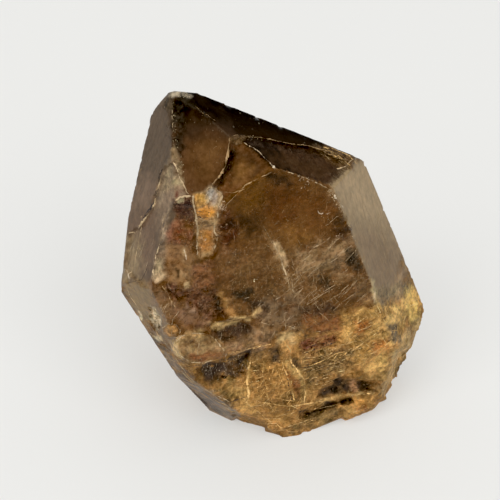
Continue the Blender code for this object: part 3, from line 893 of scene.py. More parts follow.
def paint_base(paint, outside):
    """The stained base, with patches of stain that thin out above it."""
    points = paint.points
    border = base_depth(points) + layers(points, *STAIN_BORDER)
    own_faces = len(CRYSTAL_FACES)
    gap = outside[own_faces:].max(0) - outside[:own_faces].max(0)
    edge = gap + layers(points, *STAIN_EDGE)
    spots = np.maximum(ramp(border, -3.2, 0.8), ramp(edge, -3.4, -0.2))
    spots *= ramp(layers(points, STAIN_SPOTS) + 0.3 * spots, -0.05, 0.3)
    paint.lay(0.85 * spots, UPPER_STAIN, clear=0.15, rough=0.45, stain=0.5, mottle=0.9)
    paint.lay_look(ramp(border, -0.6, 1.2), BASE_LOOK)


def paint_areas(paint, seen):
    """The areas outlined in the view, with wavy edges and patchy insides."""
    points = paint.points
    patchy = np.clip(0.85 + layers(points, *PATCHES), 0.15, 1.0)
    pixels = pixels_of(points)
    waves = layers(points, *AREA_WAVES)
    for colour, clear, rough, stain, mottle, soft, wobble, outline in AREAS:
        mask = area_mask(pixels, outline, 1.5 * soft + 0.5, (1.0 + 3.0 * wobble) * waves)
        spread = 1 - (1 - patchy) * min(1.0, 1.4 * mottle)
        paint.lay(mask * seen * spread, colour, clear=clear, rough=rough, stain=stain, mottle=mottle,
                  speck=0.0)


def paint_hidden_side(paint, hidden):
    """Where the view doesn't reach: a lighter tone all over, which is painted light, with milky clouds and
    light stains.
    """
    points = paint.points
    paint.shade(1 + hidden * (0.12 + 1.3 * layers(points, *HIDDEN_CLOUDS)))
    stains = 0.5 * hidden * ramp(layers(points, *HIDDEN_STAINS), 0.12, 0.34)
    paint.lay(stains, HIDDEN_STAIN, clear=0.1, rough=0.4, mottle=0.8)


def shade_base(paint, in_base):
    """Painted light and shade that follows the broken base's relief, paler ridges and darker hollows and
    folds, and a slow change of tone over the base.
    """
    points = paint.points
    near, next_near = hollow_cells(points)
    ridges = in_base * (1 - ramp(next_near - near, 0.02, 0.1))
    hollows = in_base * (1 - ramp(near, 0.15, 0.55))
    folds = in_base * small_folds(points)
    paint.shade(0.94 * (1 + 0.3 * ridges - 0.16 * hollows - 0.5 * folds))
    paint.shade(1 + BASE_LIFT * in_base)
    paint.tint += (in_base * 0.004)[:, None]
    tone = in_base * layers(points, BASE_TONE)
    paint.tint *= 1 + 0.45 * tone[:, None] * np.array((1.0, 0.95, 0.8))


def paint_crystal(points, normals):
    paint = Paint(points)
    outside = np.stack([plane_value(points, plane) for plane in PLANES])
    face = np.argmax(outside, 0)
    paint_faces(paint, face, outside)
    paint_base(paint, outside)
    seen = ramp(normals @ -FORWARD, -0.05, 0.15)
    paint_areas(paint, seen)
    paint_hidden_side(paint, 1 - seen)
    in_base = ramp(base_depth(points), 0.2, 1.6)
    shade_base(paint, in_base)
    big_face = list(CRYSTAL_FACES).index("prism_front")
    paint.shade(1 + FRONT_LIFT * (face == big_face) * (1 - in_base))
    return paint


# --------------------------------------------------------------------------
# Materials.
class Nodes:
    """A material's node tree, with a call for each kind of node that it uses."""

    def __init__(self, name):
        self.material = bpy.data.materials.new(name)
        self.material.use_nodes = True
        self.tree = self.material.node_tree
        self.shader = self.tree.nodes["Principled BSDF"]
        self.output = self.tree.nodes["Material Output"]
        metres = self.add("TexCoord", out="Object")
        self.place = self.scale(metres, 1 / MM)

    def node(self, kind, inputs, **settings):
        node = self.tree.nodes.new("ShaderNode" + kind)
        for key, value in settings.items():
            setattr(node, key, value)
        for key, value in inputs.items():
            self.feed(node.inputs[key], value)
        return node

    def add(self, kind, inputs=None, out=0, **settings):
        return self.node(kind, inputs or {}, **settings).outputs[out]

    def feed(self, socket, value):
        if isinstance(value, bpy.types.NodeSocket):
            self.tree.links.new(value, socket)
        else:
            socket.default_value = value

    def maths(self, operation, a, b=0.0, c=0.0):
        return self.add("Math", {0: a, 1: b, 2: c}, operation=operation)

    def times(self, a, b):
        return self.maths("MULTIPLY", a, b)

    def most(self, a, b):
        return self.maths("MAXIMUM", a, b)

    def invert(self, value):
        return self.maths("SUBTRACT", 1.0, value)

    def scale(self, colour, factor):
        return self.add("VectorMath", {0: colour, "Scale": factor}, operation="SCALE")

    def vector(self, operation, a, b):
        return self.add("VectorMath", {0: a, 1: b}, operation=operation)

    def blend(self, factor, a, b):
        return self.add("Mix", {"Factor": factor, "A": a, "B": b}, "Result", data_type="RGBA")

    def noise(self, place, size, detail=2.0, rough=0.5, distortion=0.0):
        return self.add("TexNoise", {
            "Vector": place, "Scale": 1.0 / size, "Detail": detail,
            "Roughness": rough, "Distortion": distortion})

    def step(self, value, low, high):
        return self.add("MapRange", {"Value": value, "From Min": low, "From Max": high},
                        interpolation_type="SMOOTHSTEP")

    def tint(self):
        return self.add("Attribute", attribute_name="tint")

    def channels(self, attribute):
        colour = self.add("Attribute", attribute_name=attribute)
        return self.node("SeparateColor", {0: colour}).outputs


STREAK_LEAN = math.radians(18.4)
DUST, CHIPPED, GOLD_LINE, SPECK = (150, 126, 96), (190, 166, 132), (214, 178, 116), (225, 210, 180)
RUDDY, OLIVE = (1.04, 0.97, 0.95), (0.97, 1.00, 0.96)


def rgba(colour):
    return (*linear(colour), 1.0)


def wobble(n, amount, texture, strength):
    """1 plus amount times strength times the texture about its middle."""
    middle = n.maths("SUBTRACT", texture, 0.5)
    return n.maths("MULTIPLY_ADD", n.times(middle, strength), amount, 1.0)


def cells(n, vector, scale, low, high, share):
    """Spots about the middles of the given share of random cells."""
    cell = n.node("TexVoronoi", {"Vector": vector, "Scale": scale})
    chance = n.add("SeparateColor", {0: cell.outputs["Color"]})
    spot = n.invert(n.step(cell.outputs["Distance"], low, high))
    return n.times(spot, n.maths("GREATER_THAN", chance, 1.0 - share))


def flakes(n, size, share, radius):
    """Small spots; sizes are in mm."""
    return cells(n, n.place, 1.0 / size, 0.4 * radius, radius, share)


def dashes(n, angle, width, length, share, seed):
    """Short straight strokes, lying at an angle in degrees to the crystal's z axis."""
    turned = n.add("Mapping", {
        "Vector": n.place, "Location": (seed, seed, seed),
        "Rotation": (0.0, math.radians(angle), 0.0),
        "Scale": (1.0 / width, 1.0 / width, 1.0 / length)})
    return cells(n, turned, 1.0, 0.1, 0.42, share)


def wandering(n, size, width, seed):
    """Thin wandering lines, where noise passes through its middle value."""
    moved = n.vector("ADD", n.place, (seed, seed, seed))
    field = n.noise(moved, size, detail=3.0, rough=0.55, distortion=1.2)
    off = n.maths("ABSOLUTE", n.maths("SUBTRACT", field, 0.5))
    return n.invert(n.step(off, 0.0, width))


def cracks(n, size, width):
    """A broken net of thin straight lines."""
    bent = n.add("TexNoise", {"Vector": n.place, "Scale": 0.35, "Detail": 2.0}, "Color")
    moved = n.vector("ADD", n.place, n.scale(bent, 2.5))
    net = n.add("TexVoronoi", {"Vector": moved, "Scale": 1.0 / size, "Randomness": 1.0},
                feature="DISTANCE_TO_EDGE")
    gap = n.step(n.noise(n.place, 0.9 * size), 0.46, 0.6)
    return n.times(n.invert(n.step(net, 0.0, width / size)), gap)


def crackle_mask(n, stain, rugged):
    """Cracks, strokes and flakes on the rugged parts, with fewer strokes where stained."""
    crackle = n.times(n.most(cracks(n, 1.9, 0.09), n.times(cracks(n, 0.9, 0.07), 0.7)), 0.6)
    bare = n.maths("MULTIPLY_ADD", stain, -0.75, 1.0)
    for angle, width, length, share, seed in (
        (43.0, 0.34, 3.4, 0.12, 3.0), (-24.0, 0.34, 2.6, 0.08, 9.0), (12.0, 0.3, 2.0, 0.07, 17.0),
    ):
        crackle = n.most(crackle, n.times(dashes(n, angle, width, length, share, seed), bare))
    for size, share, radius in ((0.62, 0.20, 0.34), (1.3, 0.14, 0.2)):
        crackle = n.most(crackle, flakes(n, size, share, radius))
    return n.times(crackle, rugged)


def shaded_tint(n, grain, streak, mottle):
    """The paint's colour with clouds, grain and streaks of light and dark, and of hue."""
    along = n.add("Mapping", {
        "Vector": n.place, "Rotation": (0.0, STREAK_LEAN, 0.0), "Scale": (1.0, 1.0, 0.07)})
    cloud = n.step(n.noise(n.place, size=3.0, detail=8.0, rough=0.68, distortion=0.8), 0.36, 0.64)
    lines = n.noise(along, size=0.5, detail=3.0, rough=0.55)
    shade = n.times(wobble(n, mottle, cloud, 0.9), wobble(n, streak, lines, 1.1))
    shade = n.times(shade, wobble(n, mottle, grain, 0.85))
    colour = n.scale(n.tint(), n.most(shade, 0.12))
    lit = n.times(n.maths("SUBTRACT", shade, 0.9), 0.55)
    lit = n.maths("MINIMUM", n.most(lit, 0.0), 0.4)
    uneven = n.maths("MINIMUM", n.times(n.most(mottle, streak), 2.0), 1.0)
    faded = n.blend(0.35, n.scale(n.tint(), 1.3), rgba(DUST))
    colour = n.blend(n.times(lit, uneven), colour, faded)
    hue = n.step(n.noise(n.place, size=2.2, detail=4.0, rough=0.6, distortion=0.5), 0.36, 0.64)
    ruddy = n.vector("MULTIPLY", colour, RUDDY)
    olive = n.vector("MULTIPLY", colour, OLIVE)
    return n.blend(mottle, colour, n.blend(hue, olive, ruddy))


def marked_colour(n, colour, crackle, rugged, stain, speck):
    """The colour with pale crackle, dark flecks, gold lines on the stain, and specks."""
    pale = n.blend(0.4, rgba(CHIPPED), n.scale(n.tint(), 2.0))
    colour = n.blend(n.times(crackle, 0.62), colour, pale)
    flecks = n.most(flakes(n, 0.8, 0.24, 0.42), dashes(n, 50.0, 0.4, 2.4, 0.12, 23.0))
    flecks = n.times(n.times(flecks, rugged), 0.6)
    colour = n.blend(flecks, colour, n.scale(n.tint(), 0.3))
    gold = n.most(wandering(n, 4.5, 0.018, 3.0), wandering(n, 2.2, 0.02, 11.0))
    gold = n.most(gold, n.times(dashes(n, 66.0, 0.3, 3.4, 0.05, 31.0), 0.5))
    colour = n.blend(n.times(n.times(gold, stain), 0.25), colour, rgba(GOLD_LINE))
    return n.blend(n.times(flakes(n, 1.0, 0.25, 0.22), speck), colour, rgba(SPECK))


# Quartz: its index, and what it absorbs along a metre.
QUARTZ_IOR, AMBER, AMBER_DENSITY = 1.544, (0.62, 0.42, 0.10, 1), 60.0
GLEAM, GLEAM_TINT = 0.3, (0.34, 0.27, 0.18, 1.0)
BUMP_METRES, BUMP_STRENGTH = 0.0005, 0.75


def crystal_material():
    n = Nodes("citrine")
    clear, rough, stain = n.channels("nature")[:3]
    streak, mottle, speck = n.channels("marks")[:3]
    grain = n.step(n.noise(n.place, size=0.62, detail=4.0, rough=0.62), 0.34, 0.66)
    rugged = n.times(mottle, mottle)
    crackle = crackle_mask(n, stain, rugged)
    colour = shaded_tint(n, grain, streak, mottle)
    colour = marked_colour(n, colour, crackle, rugged, stain, speck)
    n.feed(n.shader.inputs["Base Color"], colour)
    n.feed(n.shader.inputs["Roughness"], n.maths("MULTIPLY_ADD", grain, 0.12, rough))
    n.feed(n.shader.inputs["Transmission Weight"], n.times(clear, n.invert(crackle)))
    n.shader.inputs["IOR"].default_value = QUARTZ_IOR
    n.shader.inputs["Specular IOR Level"].default_value = GLEAM
    n.shader.inputs["Specular Tint"].default_value = GLEAM_TINT
    height = n.times(grain, n.maths("MULTIPLY_ADD", stain, 0.9, 0.04))
    height = n.maths("MULTIPLY_ADD", crackle, 0.3, height)
    bump = n.add("Bump", {"Height": height, "Distance": BUMP_METRES, "Strength": BUMP_STRENGTH})
    n.feed(n.shader.inputs["Normal"], bump)
    volume = n.add("VolumeAbsorption", {"Color": AMBER, "Density": AMBER_DENSITY})
    n.tree.links.new(volume, n.output.inputs["Volume"])
    return n.material


normals = np.empty(len(vertices) * 3, np.float32)
crystal.data.vertices.foreach_get("normal", normals)
paint_crystal(vertices, normals.reshape(-1, 3).astype(float)).store(crystal)
crystal.data.materials.append(crystal_material())


# --------------------------------------------------------------------------
# Veins: thin healed cracks that stand a hair proud of the surface, and ridges of the same kind that hold
# painted glints and painted shade along cracks.
# Colour, half width and height in mm, share of it broken away, routes in pixels.
# The white ridges are painted glints and highlights.
PALE, TAN, GOLD, GLINT_WHITE = (178, 154, 118), (156, 126, 86), (214, 174, 110), (206, 188, 160)
# The dark ridges are painted shade along cracks.
CRACK_SHADE, RED = (38, 24, 17), (92, 36, 28)
VEINS = (
    (TAN, 0.15, 0.10, 0.1, "228,137.5 228.3,146 227.8,156 224.7,166.6 220,175 213,183 211,186"),
    (TAN, 0.09, 0.07, 0.3,
     "227,137.5 235,134.5 245,136.5 256,137.6 268,139.6 "
     "276,141.6 286,143.7 305,145.7 317,148.8 327,153 338,157"),
    ((190, 166, 132), 0.10, 0.07, 0.6, "242.5,143 253,149 261,155.4 268,160.5 272,166"),
    (GLINT_WHITE, 0.30, 0.20, 0.0, "271.4,165.6 272.8,167.2 274.2,168.6"),
    (TAN, 0.05, 0.03, 0.3, "193,106 203,113 214,121"),
    (TAN, 0.09, 0.06, 0.2, "271,171.7 258,178 247.7,184 240.5,189 233.4,197 225,206.4"),
    (TAN, 0.08, 0.05, 0.3, "243.6,189 232,192 224,192"),
    (PALE, 0.12, 0.08, 0.4, "273,168 281,170 294.6,174 304,177 313,181.4 327,187.5 332,190.6"),
    (GLINT_WHITE, 0.20, 0.12, 0.3, "334,194 337.4,199.8 342.6,207"),
    (PALE, 0.06, 0.05, 0.8,
     "332,190.6 338,200.5 342.6,207 347.7,218 351,225 355,235.5 358,243 360,253 364,264 369,276"),
    (PALE, 0.07, 0.05, 0.7, "170.6,103 171,116 171,129 172.6,142 173.7,156"),
    (PALE, 0.13, 0.09, 0.1, "172,162 176,171.7 179.3,180 183,186 185.4,192 188.5,195"),
    (PALE, 0.14, 0.09, 0.1,
     "162,173 159,183 155.8,198 152.8,205.4 148.7,213.6 143.6,220.7 135.4,234 133,233 128,234.5"),
    (CRACK_SHADE, 0.20, 0.03, 0.1, "161,170 158,176 157,186 154.4,197 151.4,205 147,212 142,220"),
    (PALE, 0.16, 0.10, 0.05, "175,202.5 179.3,198.3 184.4,196.7 191.5,196.7"),
    (PALE, 0.20, 0.12, 0.15,
     "192.6,196 193.2,203 195,210 196.2,217.7 197.7,228 198,238 196.8,247 197.4,256"),
    (PALE, 0.16, 0.10, 0.15, "222,195 219,201 218,207.4 217,217.7 213,222.8 213,233 216,237 214,250"),
    (PALE, 0.14, 0.10, 0.1, "204,192 210,187 216,189 222,195"),
    (CRACK_SHADE, 0.13, 0.03, 0.0, "196.6,217.7 202,218.6 208,217.7"),
    (TAN, 0.10, 0.06, 0.2, "199,226 205,224 212,226"),
    (PALE, 0.12, 0.09, 0.6, "169,212.5 165,214.6 162,228 160,244 156,261 153,271 155,281.6 161,283.7"),
    (PALE, 0.07, 0.05, 0.5, "168,212 166,219 164,227 163,236"),
    (GLINT_WHITE, 0.10, 0.07, 0.2, "202,234.5 201.6,237.5 202.6,240 204.8,240.4 206.4,238.4"),
    (GLINT_WHITE, 0.09, 0.06, 0.2, "183.6,250 185,255 186.6,261"),
    (PALE, 0.12, 0.08, 0.3, "219,196 221,202 220,208"),
    (PALE, 0.10, 0.08, 0.3, "196,209 200,207 205,208"),
    (CRACK_SHADE, 0.08, 0.03, 0.2, "197,213 203,211 209,213 214,211"),
    (TAN, 0.10, 0.06, 0.3, "198,222 204,221 211,222 216,220"),
    (CRACK_SHADE, 0.07, 0.03, 0.2, "127,284.7 134,283 140.5,281.6 141.5,279.6 148.7,265"),
    (GLINT_WHITE, 0.09, 0.05, 0.2, "127,271 128,275 129.8,280.6"),
    (TAN, 0.10, 0.06, 0.3, "161,284 168,292 173,302 180,312 186,322"),
    (TAN, 0.09, 0.06, 0.3, "164,325 161,318 164,313 169,312 170,318 166,322"),
    (PALE, 0.10, 0.07, 0.2, "164,334 163,329 168,325.5 176,325 181,330 179,337 170,338"),
    (PALE, 0.13, 0.09, 0.15, "173,345 182,337.5 194,333.5 206,333.5 216,338 225,349 225,356"),
    (PALE, 0.12, 0.08, 0.25, "173,345 179,355 189,362 206,362.5 225,356"),
    (CRACK_SHADE, 0.12, 0.03, 0.2, "180,360 190,365 208,365.5 228,360"),
    (PALE, 0.08, 0.06, 0.4, "196,337 200,345 198,353 203,361"),
    (TAN, 0.08, 0.06, 0.4, "226,356 240,352 254,347 268,344"),
    (PALE, 0.10, 0.07, 0.3, "150,334 163,341 172,353 180,366 190,377 204,387 220,396 234,404"),
    (GOLD, 0.08, 0.06, 0.5, "222,296 227,306 232,314 240,317"),
    (PALE, 0.12, 0.07, 0.4, "275,245 279.3,253 283.4,263.5 286.4,271.6 290.5,287 295.6,294"),
    (GLINT_WHITE, 0.09, 0.06, 0.1, "317.5,210 319,212.5 321.4,213.6 323,212"),
    (GLINT_WHITE, 0.06, 0.05, 0.2, "326,213.6 329,212 331.4,212.6"),
    (GOLD, 0.06, 0.05, 0.4, "300,360 312,353 326,347 340,340", "303,372 316,370 330,364 348,352",
     "300,349 318,352 336,360 350,364", "346,318 352,330 358,344 360,352",
     "362,310 358,322 350,334 346,344", "372,352 384,346 392,338 396,326", "255,366 266,364 278,362",
     "262,372 268,386 270,400 276,412", "276,366 284,382 290,398 292,412",
     "246,398 262,396 280,398 300,402"),
    (CRACK_SHADE, 0.08, 0.03, 0.2, "283,364 287,376 291,388 294,402", "351,318 356,324 362,320 366,326"),
    (PALE, 0.08, 0.06, 0.4, "263,226 269,235.5 276,246"),
    (PALE, 0.06, 0.04, 0.4, "299,255 309,249 318,244 326,244"),
    (PALE, 0.06, 0.04, 0.3, "322,265.5 336,255 348.7,245"),
    (PALE, 0.06, 0.04, 0.4, "309,261 313,272 316,285 320,297"),
    (PALE, 0.05, 0.04, 0.4, "290,290 302,281 312,273 330,258", "276,300 290,288 306,270",
     "322,228 331,220 338.5,214.5"),
    (PALE, 0.14, 0.08, 0.1, "372,279.8 375,292 375,301"),
    (TAN, 0.07, 0.05, 0.3, "262,322 270,312 276,300 274,294"),
    (PALE, 0.07, 0.05, 0.4, "262,322 272,325 284,324 296,328 306,330 322,330.5"),
    (GOLD, 0.12, 0.09, 0.25, "283.4,361 287.4,373.5 292.5,386.7 295.6,402"),
    (GOLD, 0.17, 0.11, 0.15, "287,344 291,350 290,360 298,371.4 304,378.6 306,392 306,403"),
    (GOLD, 0.15, 0.10, 0.2, "252,360 248.7,371 248,382 250,392 249,402 254,410"),
    (GOLD, 0.09, 0.07, 0.4, "232,352 240,352 250,348 262,346 272,344"),
    (GOLD, 0.11, 0.08, 0.25, "262,402 280,404 296,406 310,402 319,401 331,398 346.5,394 357,393 372,392"),
    (GOLD, 0.09, 0.06, 0.3, "246,402 262,414 276,424 290,430"),
    (GOLD, 0.08, 0.06, 0.3, "262,410 274,418 284,430"),
    (GOLD, 0.07, 0.05, 0.3, "304,361 318,358 331,352 345,344", "306,368 322,362 336,354 352,350"),
    (CRACK_SHADE, 0.07, 0.03, 0.3, "305,364.5 318,361 331,356", "306,372 320,366 327,363"),
    (RED, 0.11, 0.03, 0.2, "303.7,349 311,345 319,341 331,337"),
    (CRACK_SHADE, 0.11, 0.03, 0.3, "305.7,352.5 316,349 327,346 341.4,341"),
    (CRACK_SHADE, 0.09, 0.03, 0.3, "312,346 322,343 330,340"),
    (GOLD, 0.08, 0.05, 0.3, "352,350 362,344 372,336 384,330", "340,340 352,338 362,330 372,322"),
    (GOLD, 0.06, 0.05, 0.5, "376,302 392,306 404,304 412,296"),
    (GOLD, 0.07, 0.05, 0.5, "400,322 406,310 410,296 413,284"),
    (GOLD, 0.07, 0.05, 0.3, "318,148 330,150 342,157 350,165", "322,146 336,149 348,155 356,163"),
    (GOLD, 0.06, 0.05, 0.3, "332,155 342,158 352,160"),
    (PALE, 0.10, 0.07, 0.3, "336,168 344,166 348,162 352,158"),
)
# Veins on the hidden sides: as above, with routes in degrees of azimuth and mm of height.
BACK_VEINS = (
    (PALE, 0.11, 0.07, 0.2, "84,31 88,24 94,17 97,9 104,3"),
    (PALE, 0.10, 0.07, 0.3, "122,27 126,20 121,13 126,5"),
    (CRACK_SHADE, 0.12, 0.03, 0.2, "97,9 108,12 116,18 124,21"),
    (TAN, 0.09, 0.06, 0.3, "60,18 70,13 79,10 90,11 97,9"),
    (PALE, 0.12, 0.08, 0.2, "148,22 151,14 147,6 152,-2 150,-9"),
    (CRACK_SHADE, 0.10, 0.03, 0.2, "152,-2 160,0 169,4 176,3"),
    (TAN, 0.09, 0.06, 0.3, "163,14 170,8 177,10 186,5"),
    (PALE, 0.10, 0.07, 0.3, "40,10 47,4 52,-3 49,-9"),
    (CRACK_SHADE, 0.12, 0.03, 0.1, "30,2 40,0 52,-3 63,-2"),
    (GOLD, 0.10, 0.07, 0.2, "66,-8 76,-11 88,-10 98,-14 112,-13"),
    (GOLD, 0.10, 0.07, 0.3, "88,-10 91,-17 86,-24 90,-29"),
    (CRACK_SHADE, 0.14, 0.04, 0.1, "112,-13 117,-19 113,-25"),
    (GOLD, 0.10, 0.07, 0.3, "126,-12 138,-16 149,-13 162,-17"),
    (PALE, 0.10, 0.07, 0.3, "138,-16 141,-22 136,-28"),
    (CRACK_SHADE, 0.12, 0.03, 0.2, "40,-12 52,-15 60,-22 72,-23"),
    (GOLD, 0.09, 0.06, 0.3, "20,-14 32,-18 44,-17 52,-15", "172,-12 182,-17 193,-15"),
    (PALE, 0.09, 0.06, 0.3, "198,14 201,6 198,-1 203,-8"),
)
# Hair lines on the hidden sides: colour, how many, slope in degrees, longest (pixel sizes),
# and the ranges of azimuth in degrees and of height in mm.
BACK_HAIRS = (
    ((170, 142, 104), 44, 70, 26, (30, 215), (-8, 26)),
    ((150, 122, 86), 30, 20, 18, (30, 215), (-8, 24)),
    ((206, 170, 112), 60, 24, 22, (10, 230), (-30, -9)),
    ((196, 168, 120), 40, -52, 16, (10, 230), (-30, -9)),
    ((58, 40, 26), 40, 12, 18, (10, 230), (-30, -6)),
)
# Hair lines: colour, how many, angle and spread in degrees, longest (pixels), half width
# (mm), and the outline that they lie in.
HAIRS = (
    ((198, 170, 130), 36, -66, 6, 10, 0.055,
     "266,234 272,232 286,250 291,278 297,292 290,296 281,268 272,248"),
    ((182, 156, 118), 46, 42, 7, 30, 0.045, "286,262 318,240 352,232 362,262 366,296 340,306 300,302"),
    ((172, 146, 112), 22, -68, 8, 22, 0.045, "270,250 300,244 330,262 330,300 290,310 270,290"),
    ((158, 128, 90), 18, 60, 30, 9, 0.045, "222,250 262,240 290,262 270,300 232,290"),
    ((172, 148, 116), 40, 76, 30, 10, 0.045, "240,292 300,292 322,300 306,324 270,336 246,316"),
    ((172, 146, 110), 20, -50, 10, 16, 0.045, "296,300 322,300 330,322 300,330"),
    ((236, 202, 144), 26, 16, 5, 26, 0.04, "300,352 340,340 372,340 366,366 340,378 306,396"),
    ((240, 206, 146), 14, 32, 14, 18, 0.045, "342,312 378,304 404,308 396,334 376,352 346,344"),
    ((240, 206, 146), 10, -50, 10, 20, 0.045, "342,312 378,304 404,308 396,334 376,352 346,344"),
    ((236, 198, 136), 20, 84, 14, 12, 0.045, "250,360 282,352 302,376 300,410 262,412 246,392"),
    ((236, 198, 136), 14, 20, 16, 14, 0.045, "250,360 282,352 302,376 300,410 262,412 246,392"),
    ((236, 198, 140), 18, 4, 12, 20, 0.045,
     "244,398 300,402 340,404 372,396 372,408 310,424 286,434 262,420"),
    ((176, 160, 138), 64, 84, 12, 6, 0.045, "200,366 222,356 250,350 248,376 214,382"),
    ((168, 150, 122), 36, 80, 14, 6, 0.045, "212,326 252,320 250,334 218,342"),
    ((52, 34, 22), 24, 16, 8, 22, 0.05, "300,352 336,334 344,344 340,372 306,384"),
    ((76, 52, 32), 24, 30, 20, 10, 0.05, "346,318 392,312 392,340 366,352 346,344"),
    ((150, 134, 110), 12, 76, 10, 18, 0.04, "128,240 150,214 158,250 150,276 130,278"),
    ((150, 132, 106), 18, -74, 8, 34, 0.04, "346,200 366,172 394,236 408,272 384,290"),
    ((92, 70, 48), 8, 84, 8, 14, 0.03, "186,130 222,140 222,168 206,184 186,176"),
    ((166, 138, 94), 16, -28, 10, 18, 0.045, "312,142 340,146 360,158 352,168 326,158"),
    ((172, 150, 118), 20, 66, 12, 14, 0.05, "150,300 172,306 190,334 176,350 156,330"),
    ((150, 134, 112), 16, -50, 6, 20, 0.05, "150,338 178,364 200,388 232,408 230,416 190,394 152,350"),
    ((170, 148, 112), 26, 62, 7, 26, 0.045, "392,350 420,318 420,334 402,366 384,390 380,380"),
    ((172, 146, 108), 16, 78, 16, 8, 0.04, "170,216 192,212 196,262 192,286 168,282"),
    ((152, 124, 86), 70, -62, 30, 8, 0.04, "236,238 300,226 350,232 356,256 340,300 262,310 228,290"),
    ((132, 102, 62), 40, 60, 30, 8, 0.04, "240,206 300,190 340,200 350,236 300,246 250,246"),
    ((214, 172, 106), 60, 66, 30, 14, 0.05, "246,364 290,356 306,380 306,404 262,420 240,404"),
    ((206, 166, 104), 60, 24, 30, 16, 0.05, "306,340 384,306 404,316 394,344 372,372 310,384"),
    ((198, 156, 94), 36, 10, 24, 14, 0.05, "256,414 300,408 372,400 366,410 306,430 280,436"),
)
# Chips: colour, how many, smallest and largest half size (mm), and the outline they lie in.
# The pale chips are chipped spots whose light colour is partly painted glint; the dark ones are dark
# flecks.
CHIPS = (
    ((199, 171, 137), 26, 0.05, 0.10, "298,174 309,177 309,190 299,189"),
    ((206, 181, 143), 46, 0.05, 0.11, "325,188 336,190 344,206 340,211 331,198"),
    ((202, 178, 137), 30, 0.04, 0.08, "344,211 352,222 362,246 359,252 349,232"),
    ((206, 179, 146), 40, 0.05, 0.10, "218,201 227,202 226,211 218,210"),
    ((200, 176, 138), 46, 0.03, 0.09,
     "274,242 279,242 286,254 290,268 293,284 299,296 294,298 286,282 281,266 275,254"),
    ((200, 176, 132), 9, 0.03, 0.08, "314,208 326,207 332,212 326,219 317,219"),
    ((206, 173, 140), 8, 0.07, 0.10, "336,233 340,233 341,238 336,239"),
    ((219, 201, 159), 3, 0.12, 0.16, "253,279 256,279 257,282 253,282"),
    ((194, 168, 126), 170, 0.04, 0.10,
     "222,250 262,244 300,240 352,240 372,290 342,310 300,326 262,322 240,296"),
    ((168, 138, 94), 44, 0.04, 0.09, "238,206 268,180 326,192 344,214 348,238 300,238 262,240"),
    ((163, 142, 109), 34, 0.03, 0.06, "176,112 196,104 226,134 224,160 200,176 184,160"),
    ((184, 164, 124), 50, 0.04, 0.08, "170,103 174,103 176,140 184,172 182,188 176,170 171,140"),
    ((190, 173, 137), 40, 0.05, 0.10, "167,98 170,92 182,91 190,98 180,98"),
    ((110, 86, 56), 14, 0.03, 0.05, "200,102 262,120 330,146 262,136 214,126"),
    ((177, 151, 113), 30, 0.04, 0.08, "246,135 262,136 262,141 246,140"),
    ((177, 147, 101), 60, 0.04, 0.07, "166,284 214,288 226,304 220,320 196,306 172,300"),
    ((185, 159, 117), 50, 0.04, 0.08, "183,198 194,198 196,240 190,262 184,240"),
    ((206, 186, 145), 40, 0.05, 0.13, "148,306 157,305 164,322 160,334 152,326"),
    ((184, 161, 124), 60, 0.04, 0.08, "212,326 252,322 250,333 224,343"),
    ((192, 173, 140), 110, 0.04, 0.09, "200,371 222,360 252,350 246,373 212,382"),
    ((184, 154, 113), 50, 0.04, 0.08, "320,396 334,380 374,381 374,390 340,393"),
    ((199, 164, 101), 120, 0.04, 0.09, "248,362 284,350 306,380 308,404 290,420 250,410"),
    ((202, 169, 109), 120, 0.04, 0.09, "342,310 396,306 406,320 392,344 372,368 350,356"),
    ((206, 173, 109), 50, 0.05, 0.10, "306,402 340,393 375,389 376,394 340,399 308,408"),
    ((206, 174, 109), 46, 0.05, 0.10, "402,302 411,280 420,300 416,322"),
    ((177, 154, 117), 50, 0.04, 0.08, "374,290 392,286 410,284 408,300 376,306"),
    ((40, 26, 14), 90, 0.04, 0.09,
     "222,256 262,250 300,246 350,240 366,290 342,310 300,326 262,322 240,296"),
    ((37, 21, 10), 60, 0.04, 0.07, "216,206 240,210 240,280 216,280"),
    ((34, 21, 12), 70, 0.04, 0.08,
     "250,362 290,360 300,410 262,414 300,340 352,350 372,310 392,320 356,366 310,392"),
)
# Flakes sealed in the crystal: colour, how many, half size and depth range (mm), outline.
VEILS = (
    ((255, 226, 176), 700, (0.05, 0.22), (0.3, 5.0),
     "224,250 262,240 300,236 350,236 372,296 342,312 300,326 262,322 240,300"),
    ((255, 222, 168), 260, (0.05, 0.18), (0.3, 6.0),
     "238,206 268,180 326,192 346,214 350,240 300,240 262,240"),
    ((255, 232, 190), 200, (0.06, 0.24), (0.2, 2.0),
     "262,226 270,230 284,250 291,284 298,296 290,298 280,268 268,244"),
    ((236, 196, 150), 160, (0.05, 0.16), (0.3, 4.0), "184,112 214,118 232,140 222,172 200,186 186,160"),
    ((225, 170, 110), 120, (0.05, 0.16), (0.3, 4.0), "262,152 322,160 338,172 320,182 274,166"),
    ((230, 180, 130), 120, (0.05, 0.16), (0.3, 3.0), "172,206 196,200 196,262 170,282"),
)
# A vein's points lie this many pixels apart, and it is cut where they are too many mm apart.
VEIN_STEP, LONGEST_JUMP = 1.1, 1.2
# How much a vein wavers from point to point and at most, in pixels.
VEIN_WAVER, HAIR_WAVER, BACK_WAVER, MOST_WAVER = 0.22, 0.06, 0.3, 1.2
# A ridge's width changes slowly, over this many points.
SMOOTHING = 7
ROOT_DEPTH, TIP_WIDTH = 0.05, 0.01
HAIR_HEIGHT, HAIR_BROKEN, BACK_HAIR_WIDTH, BACK_HAIR_BROKEN = 0.035, 0.15, 0.05, 0.2
# Where each table's random seeds start.
HAIR_SHAPES, BACK_VEIN_SEED, BACK_HAIR_SHAPES, BACK_HAIR_SEED = 900, 7000, 8000, 9000
CHIP_SEED, VEIL_SEED = 3000, 5000
LEAST_DEPTH = 0.3


